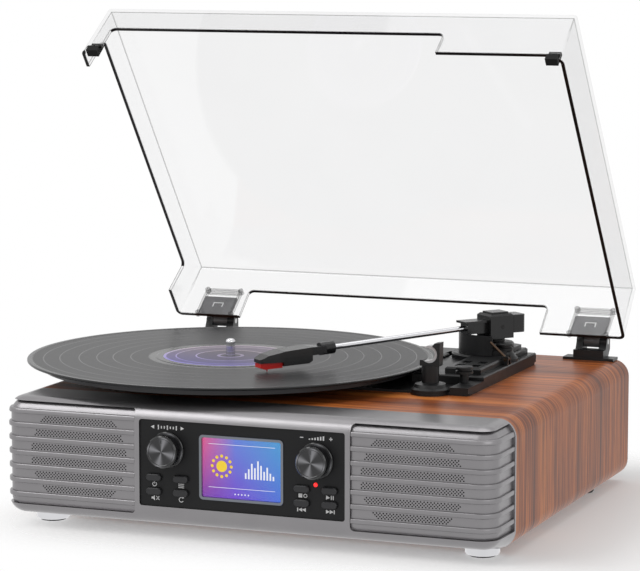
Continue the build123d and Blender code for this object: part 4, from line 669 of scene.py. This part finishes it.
def fine_grille(side):
    """Ribs that wrap the corner, sunk bands, and four staggered rows of round holes in each band."""
    bm = bmesh.new()
    runs = full_runs()
    ribs = [GRILLE_MID_Z + RIB_PITCH * k for k in range(-3, 4)]
    half_form = [(RIB_HALF, BAND_INSET), (RIB_HALF, 1.0), (1.62, 0.62), (1.3, 0.38), (0.9, 0.3)]
    rib_form = [(-dz, inset) for dz, inset in half_form] + half_form[::-1]
    for mid in ribs:
        grid_sheet(bm, runs, [(mid + dz, inset) for dz, inset in rib_form], side)
    low_span = ribs[0] - RIB_HALF - GRILLE_LOW
    high_span = GRILLE_HIGH - ribs[-1] - RIB_HALF
    low_rows = [(GRILLE_LOW, RIM_INSET)] + [(GRILLE_LOW + low_span * i / 6, BAND_INSET) for i in range(7)]
    high_rows = [(ribs[-1] + RIB_HALF + high_span * i / 6, BAND_INSET) for i in range(7)]
    high_rows.append((GRILLE_HIGH, RIM_INSET))
    grid_sheet(bm, runs, low_rows, side)
    grid_sheet(bm, runs, high_rows, side)
    columns = 17
    for k in range(-3, 3):
        mid = GRILLE_MID_Z + RIB_PITCH * (k + 0.5)
        for edge in (-1, 1):
            ends = sorted((mid + edge * 2 * HOLE_ROW, mid + edge * (RIB_PITCH / 2 - RIB_HALF)))
            grid_sheet(bm, runs, [(z, BAND_INSET) for z in ends], side)
        for row in range(4):
            z0 = mid + (row - 2) * HOLE_ROW
            z1 = z0 + HOLE_ROW
            zm = (z0 + z1) / 2
            shift = 0.5 * HOLE_STEP if row % 2 else 0.0
            first = GRILLE_MID_X - CORNER_X - (columns + 0.5) * HOLE_STEP + shift
            edges = [first + HOLE_STEP * i for i in range(2 * columns + 1)]
            plain_tile(bm, runs[0], edges[0], z0, z1, BAND_INSET, side)
            for s0, s1 in zip(edges, edges[1:]):
                x = CORNER_X + (s0 + s1) / 2
                inside = math.hypot(x - GRILLE_MID_X, zm - GRILLE_MID_Z) < FIELD_RADIUS
                if inside:
                    hole_tile(bm, s0, s1, z0, z1, BAND_INSET, side)
                else:
                    plain_tile(bm, s0, s1, z0, z1, BAND_INSET, side)
            rest = [edges[-1]] + [s for s in runs if s > edges[-1] + 0.05]
            grid_sheet(bm, rest, [(z0, BAND_INSET), (z1, BAND_INSET)], side)
    for s_end in (runs[0], runs[-1]):
        step = 0.02 if s_end == runs[0] else -0.02
        rows = [(GRILLE_LOW, BAND_INSET), (GRILLE_HIGH, BAND_INSET)]
        grid_sheet(bm, [s_end, s_end + step], rows, side)
    bmesh.ops.remove_doubles(bm, verts=bm.verts, dist=0.002)
    return bm


def grille_cloth(side):
    """The dark cloth behind the holes."""
    bm = bmesh.new()
    runs = [GRILLE_START_X - CORNER_X, -40.0, -10.0, 0.0]
    grid_sheet(bm, runs, [(z, CLOTH_INSET) for z in (18.0, 30.0, 50.0, 70.0, 77.0, 79.0)], side)
    return bm


for side, word in ((1, "right"), (-1, "left")):
    grille = make_piece(word + "_grille_fine", fine_grille(side), MESH_PAINT, "base", smooth=32)
    # The holes' walls and floors take the cloth material as painted shade.
    grille.data.materials.append(CLOTH_AND_HOLE_SHADE)
    cloth = make_piece(word + "_grille_cloth", grille_cloth(side), CLOTH_AND_HOLE_SHADE, "base")
    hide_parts(word + "_grille")


# Clear sockets that hold the hinge leaves on the lid's rear wall

def hinge_socket(side):
    """Two side rails, a top rail and four round bosses, drawn on the shut lid and turned with it."""
    bm = bmesh.new()
    mid = side * HINGE_X
    low, high, half, rail, stand = DECK + 3.0, DECK + 32.5, 15.6, 2.2, 3.2
    rear = LID_REAR + 2.6
    for x in (mid - half + rail / 2, mid + half - rail / 2):
        head = arc_points(x, high - rail / 2, rail / 2, 0, 180, 8)
        foot = arc_points(x, low + rail / 2, rail / 2, 180, 360, 8)
        solid_shape(bm, head + foot, rear, stand)
    for z in (high - rail / 2, high - rail * 2.2):
        solid_shape(bm, bar_shape(mid, z, 2 * half - 2 * rail - 0.4, rail * 0.7), rear - 0.6, stand - 0.9)
    for x in (mid - half + rail / 2, mid + half - rail / 2):
        for z in (low + 1.6, high - 1.6):
            solid_shape(bm, arc_points(x, z, 2.1, 0, 340, 17), rear + 0.3, stand + 0.6)
    turn = Matrix.Rotation(-LID_ANGLE, 3, "X")
    bmesh.ops.rotate(bm, cent=(0, HINGE[0], HINGE[1]), matrix=turn, verts=bm.verts)
    return bm


def leaf_clip(side):
    """A bright bent spring clip pressed into each hinge leaf."""
    bm = bmesh.new()
    mid = side * HINGE_X
    legs = [(mid + x, DECK + 14.2, 0.9, 4.0) for x in (-4.0, 4.0)]
    for x, z, w, h in [(mid, DECK + 16.5, 9.0, 0.9)] + legs:
        solid_shape(bm, bar_shape(x, z, w, h), LID_REAR + 0.25, 0.3)
    turn = Matrix.Rotation(-LID_ANGLE, 3, "X")
    bmesh.ops.rotate(bm, cent=(0, HINGE[0], HINGE[1]), matrix=turn, verts=bm.verts)
    return bm


SOCKET = clear_plastic("socket_clear", (0.84, 0.84, 0.84), 0.5, 0.0006, 0.85)
for side, word in ((1, "right"), (-1, "left")):
    make_piece(word + "_hinge_socket", hinge_socket(side), SOCKET, "cover")
    make_piece(word + "_leaf_clip", leaf_clip(side), WHITE_INK, "cover")


# Printed symbols round the controls

SCALE_Z = 75.2
symbols = []
symbols.append(triangle(-65.2, SCALE_Z, 2.2, -1))
symbols.append(triangle(-46.2, SCALE_Z, 2.2, 1))
for i in range(7):
    symbols.append(bar_shape(-KNOB_X + (i - 3) * 1.9, SCALE_Z, 0.7, 2.6 if i % 3 == 0 else 1.5))
symbols.append(bar_shape(46.8, SCALE_Z, 2.0, 0.55))
symbols.append(bar_shape(64.6, SCALE_Z, 2.0, 0.55))
symbols.append(bar_shape(64.6, SCALE_Z, 0.55, 2.0))
for i in range(6):
    height = 0.7 + 0.36 * i
    symbols.append(bar_shape(51.6 + i * 1.7, 74.1 + height / 2, 0.9, height))
UPPER, LOWER = 34.7, 24.9
symbols.append(ring_shape(-65.8, UPPER, 1.0, 0.38, 120, 420))
symbols.append(bar_shape(-65.8, UPPER + 0.85, 0.38, 1.3))
for i in (-1, 0, 1):
    symbols.append(bar_shape(-45.4, UPPER + i * 0.85, 3.0, 0.38))
symbols.append([(-67.4, LOWER - 0.5), (-66.6, LOWER - 0.5), (-65.7, LOWER - 1.3), (-65.7, LOWER + 1.3),
                (-66.6, LOWER + 0.5), (-67.4, LOWER + 0.5)])
symbols.append([(-65.0, LOWER - 0.75), (-64.75, LOWER - 1.0), (-63.2, LOWER + 0.75), (-63.45, LOWER + 1.0)])
symbols.append([(-65.0, LOWER + 0.75), (-64.75, LOWER + 1.0), (-63.2, LOWER - 0.75), (-63.45, LOWER - 1.0)])
symbols.append(ring_shape(-45.4, LOWER, 1.1, 0.38, 60, 330))
symbols.append(triangle(-44.3, LOWER + 1.05, 1.1, 1))
symbols.append(bar_shape(44.6, UPPER, 1.9, 1.9))
symbols.append(ring_shape(47.1, UPPER, 0.8, 0.35, 0, 359))
symbols.append(triangle(64.9, UPPER, 2.0, 1))
symbols.append(bar_shape(66.5, UPPER, 0.5, 2.0))
symbols.append(bar_shape(67.5, UPPER, 0.5, 2.0))
for x, facing in ((45.4, -1), (65.8, 1)):
    symbols.append(triangle(x - facing * 1.0, LOWER, 1.9, facing))
    symbols.append(triangle(x + facing * 0.9, LOWER, 1.9, facing))
    symbols.append(bar_shape(x + facing * 2.2, LOWER, 0.5, 1.9))
SYMBOL_PLACES = [(x, z) for x in (-65.8, -45.4, 45.8, 66.0) for z in (UPPER, LOWER)]
SYMBOL_PLACES += [(-KNOB_X, SCALE_Z), (KNOB_X, SCALE_Z)]


def enlarged(outline, factor=1.45):
    """The outline grown about the centre of the symbol that it belongs to."""
    x = sum(p[0] for p in outline) / len(outline)
    z = sum(p[1] for p in outline) / len(outline)
    mid = min(SYMBOL_PLACES, key=lambda place: math.hypot(place[0] - x, place[1] - z))
    grow = factor if mid[1] < 50 else 1.2
    return [(mid[0] + (px - mid[0]) * grow, mid[1] + (pz - mid[1]) * grow) for px, pz in outline]


bm = bmesh.new()
for outline in symbols:
    flat_shape(bm, enlarged(outline), FASCIA_FRONT, 0.06)
make_piece("fascia_symbols", bm, WHITE_INK, "base")

# The display's picture: level bars, a progress line and a dial of dots
SCREEN_FACE = FASCIA_FRONT - 0.6 + 0.3 + 1.2
SCREEN_WHITE, _, shader = base_material("screen_white", (0, 0, 0), 0.4)
shader.inputs["Emission Color"].default_value = (0.9, 0.93, 1.0, 1)
shader.inputs["Emission Strength"].default_value = 0.9
SCREEN_YELLOW, _, shader = base_material("screen_yellow", (0, 0, 0), 0.4)
shader.inputs["Emission Color"].default_value = rgba(srgb(250, 214, 20))
shader.inputs["Emission Strength"].default_value = 0.9
bm = bmesh.new()
flat_shape(bm, bar_shape(0, 66.0, 50.0, 0.3), SCREEN_FACE, 0.04)
flat_shape(bm, bar_shape(0, 35.6, 50.0, 0.3), SCREEN_FACE, 0.04)
for i, height in enumerate((4, 7, 11, 8, 13, 10, 6, 9, 5, 3)):
    flat_shape(bm, bar_shape(3.0 + i * 2.3, 43.0 + height / 2, 1.2, height), SCREEN_FACE, 0.04)
for i in range(5):
    flat_shape(bm, arc_points(-5.0 + i * 2.5, 31.6, 0.55, 0, 330, 11), SCREEN_FACE, 0.04)
make_piece("screen_marks", bm, SCREEN_WHITE, "base")
bm = bmesh.new()
for i in range(12):
    angle = math.radians(30 * i)
    flat_shape(bm, arc_points(-15 + 7.2 * math.cos(angle), 50.6 + 7.2 * math.sin(angle), 1.1, 0, 330, 11),
               SCREEN_FACE, 0.04)
flat_shape(bm, arc_points(-15, 50.6, 4.0, 0, 345, 23), SCREEN_FACE, 0.04)
make_piece("screen_dial", bm, SCREEN_YELLOW, "base")


# Studio

def soft_light(name, size, power, place, aim):
    data = bpy.data.lights.new(name, "AREA")
    data.shape = "RECTANGLE"
    data.size, data.size_y = size
    data.energy = power
    lamp = bpy.data.objects.new(name, data)
    bpy.context.scene.collection.objects.link(lamp)
    lamp.location = place
    lamp.rotation_euler = (Vector(aim) - Vector(place)).to_track_quat("-Z", "Y").to_euler()


soft_light("key", (1.4, 1.4), 20.0, (-1.3, -1.1, 1.9), (0, 0, 0.1))
soft_light("fill", (1.6, 1.2), 7.0, (1.9, -1.5, 0.9), (0, 0, 0.1))
soft_light("top", (1.6, 1.6), 10.0, (0.1, 0.4, 2.2), (0, 0, 0.1))

world = bpy.data.worlds.new("studio")
bpy.context.scene.world = world
world.use_nodes = True
tree = world.node_tree
out = tree.nodes["World Output"]
dim = tree.nodes["Background"]
dim.inputs["Color"].default_value = (1, 1, 1, 1)
dim.inputs["Strength"].default_value = 0.42
white = add_node(tree, "ShaderNodeBackground", Strength=1.0)
white.inputs["Color"].default_value = (1, 1, 1, 1)
ray = add_node(tree, "ShaderNodeLightPath")
most = add_node(tree, "ShaderNodeMath", operation="MAXIMUM")
link(tree, ray.outputs["Is Camera Ray"], most.inputs[0])
link(tree, ray.outputs["Is Transmission Ray"], most.inputs[1])
shows = add_node(tree, "ShaderNodeMath", operation="MAXIMUM")
link(tree, most.outputs["Value"], shows.inputs[0])
link(tree, ray.outputs["Is Glossy Ray"], shows.inputs[1])
choose = add_node(tree, "ShaderNodeMixShader")
link(tree, shows.outputs["Value"], choose.inputs[0])
link(tree, dim.outputs["Background"], choose.inputs[1])
link(tree, white.outputs["Background"], choose.inputs[2])

link(tree, choose.outputs["Shader"], out.inputs["Surface"])

bpy.ops.mesh.primitive_plane_add(size=8.0, location=(0, 0, FLOOR_Z))
floor = bpy.context.object
floor.name = "floor"
FLOOR = bpy.data.materials.new("floor_white")
FLOOR.use_nodes = True
tree = FLOOR.node_tree
shader = tree.nodes["Principled BSDF"]
shader.inputs["Base Color"].default_value = (0.9, 0.885, 0.88, 1)
shader.inputs["Roughness"].default_value = 0.6
shader.inputs["Specular IOR Level"].default_value = 0.1
coord = add_node(tree, "ShaderNodeTexCoord")
apart = add_node(tree, "ShaderNodeVectorMath", operation="SUBTRACT")
apart.inputs[1].default_value = (0.055, 0.03, 0)
link(tree, coord.outputs["Object"], apart.inputs[0])
size = add_node(tree, "ShaderNodeVectorMath", operation="ABSOLUTE")
link(tree, apart.outputs["Vector"], size.inputs[0])
past = add_node(tree, "ShaderNodeVectorMath", operation="SUBTRACT")
past.inputs[1].default_value = (0.17, 0.14, 0)
link(tree, size.outputs["Vector"], past.inputs[0])
outer = add_node(tree, "ShaderNodeVectorMath", operation="MAXIMUM")
link(tree, past.outputs["Vector"], outer.inputs[0])
distance = add_node(tree, "ShaderNodeVectorMath", operation="LENGTH")
link(tree, outer.outputs["Vector"], distance.inputs[0])
fade = add_node(tree, "ShaderNodeMapRange")
fade.inputs["From Min"].default_value = 0.0
fade.inputs["From Max"].default_value = 0.13
fade.interpolation_type = "SMOOTHSTEP"
link(tree, distance.outputs["Value"], fade.inputs["Value"])
clear = add_node(tree, "ShaderNodeBsdfTransparent")
glow = add_node(tree, "ShaderNodeEmission", Strength=1.0)
seen = add_node(tree, "ShaderNodeLightPath")
share = add_node(tree, "ShaderNodeMath", operation="MULTIPLY")
share.inputs[1].default_value = 0.22
link(tree, seen.outputs["Is Camera Ray"], share.inputs[0])
lifted = add_node(tree, "ShaderNodeMixShader")
link(tree, share.outputs["Value"], lifted.inputs[0])
link(tree, shader.outputs["BSDF"], lifted.inputs[1])
link(tree, glow.outputs["Emission"], lifted.inputs[2])
gone = add_node(tree, "ShaderNodeMath", operation="MAXIMUM")
link(tree, fade.outputs["Result"], gone.inputs[0])
link(tree, seen.outputs["Is Glossy Ray"], gone.inputs[1])
blend = add_node(tree, "ShaderNodeMixShader")
link(tree, gone.outputs["Value"], blend.inputs[0])
link(tree, lifted.outputs["Shader"], blend.inputs[1])
link(tree, clear.outputs["BSDF"], blend.inputs[2])
link(tree, blend.outputs["Shader"], tree.nodes["Material Output"].inputs["Surface"])
floor.data.materials.append(FLOOR)

# Camera at the photograph's place
camera_data = bpy.data.cameras.new("camera")
camera = bpy.data.objects.new("camera", camera_data)
bpy.context.scene.collection.objects.link(camera)
bpy.context.scene.camera = camera
camera_data.sensor_width = 36.0
camera_data.lens = 162.1
camera_data.clip_start, camera_data.clip_end = 0.05, 50.0
turn, rise, reach = math.radians(21.63), math.radians(7.36), 2.1239
target = Vector((-0.0057, 0.0, 0.1578))
away = Vector((math.sin(turn) * math.cos(rise), -math.cos(turn) * math.cos(rise), math.sin(rise)))
camera.location = target + away * reach
camera.rotation_euler = (-away).to_track_quat("-Z", "Y").to_euler()
bpy.context.scene.view_settings.view_transform = "Standard"
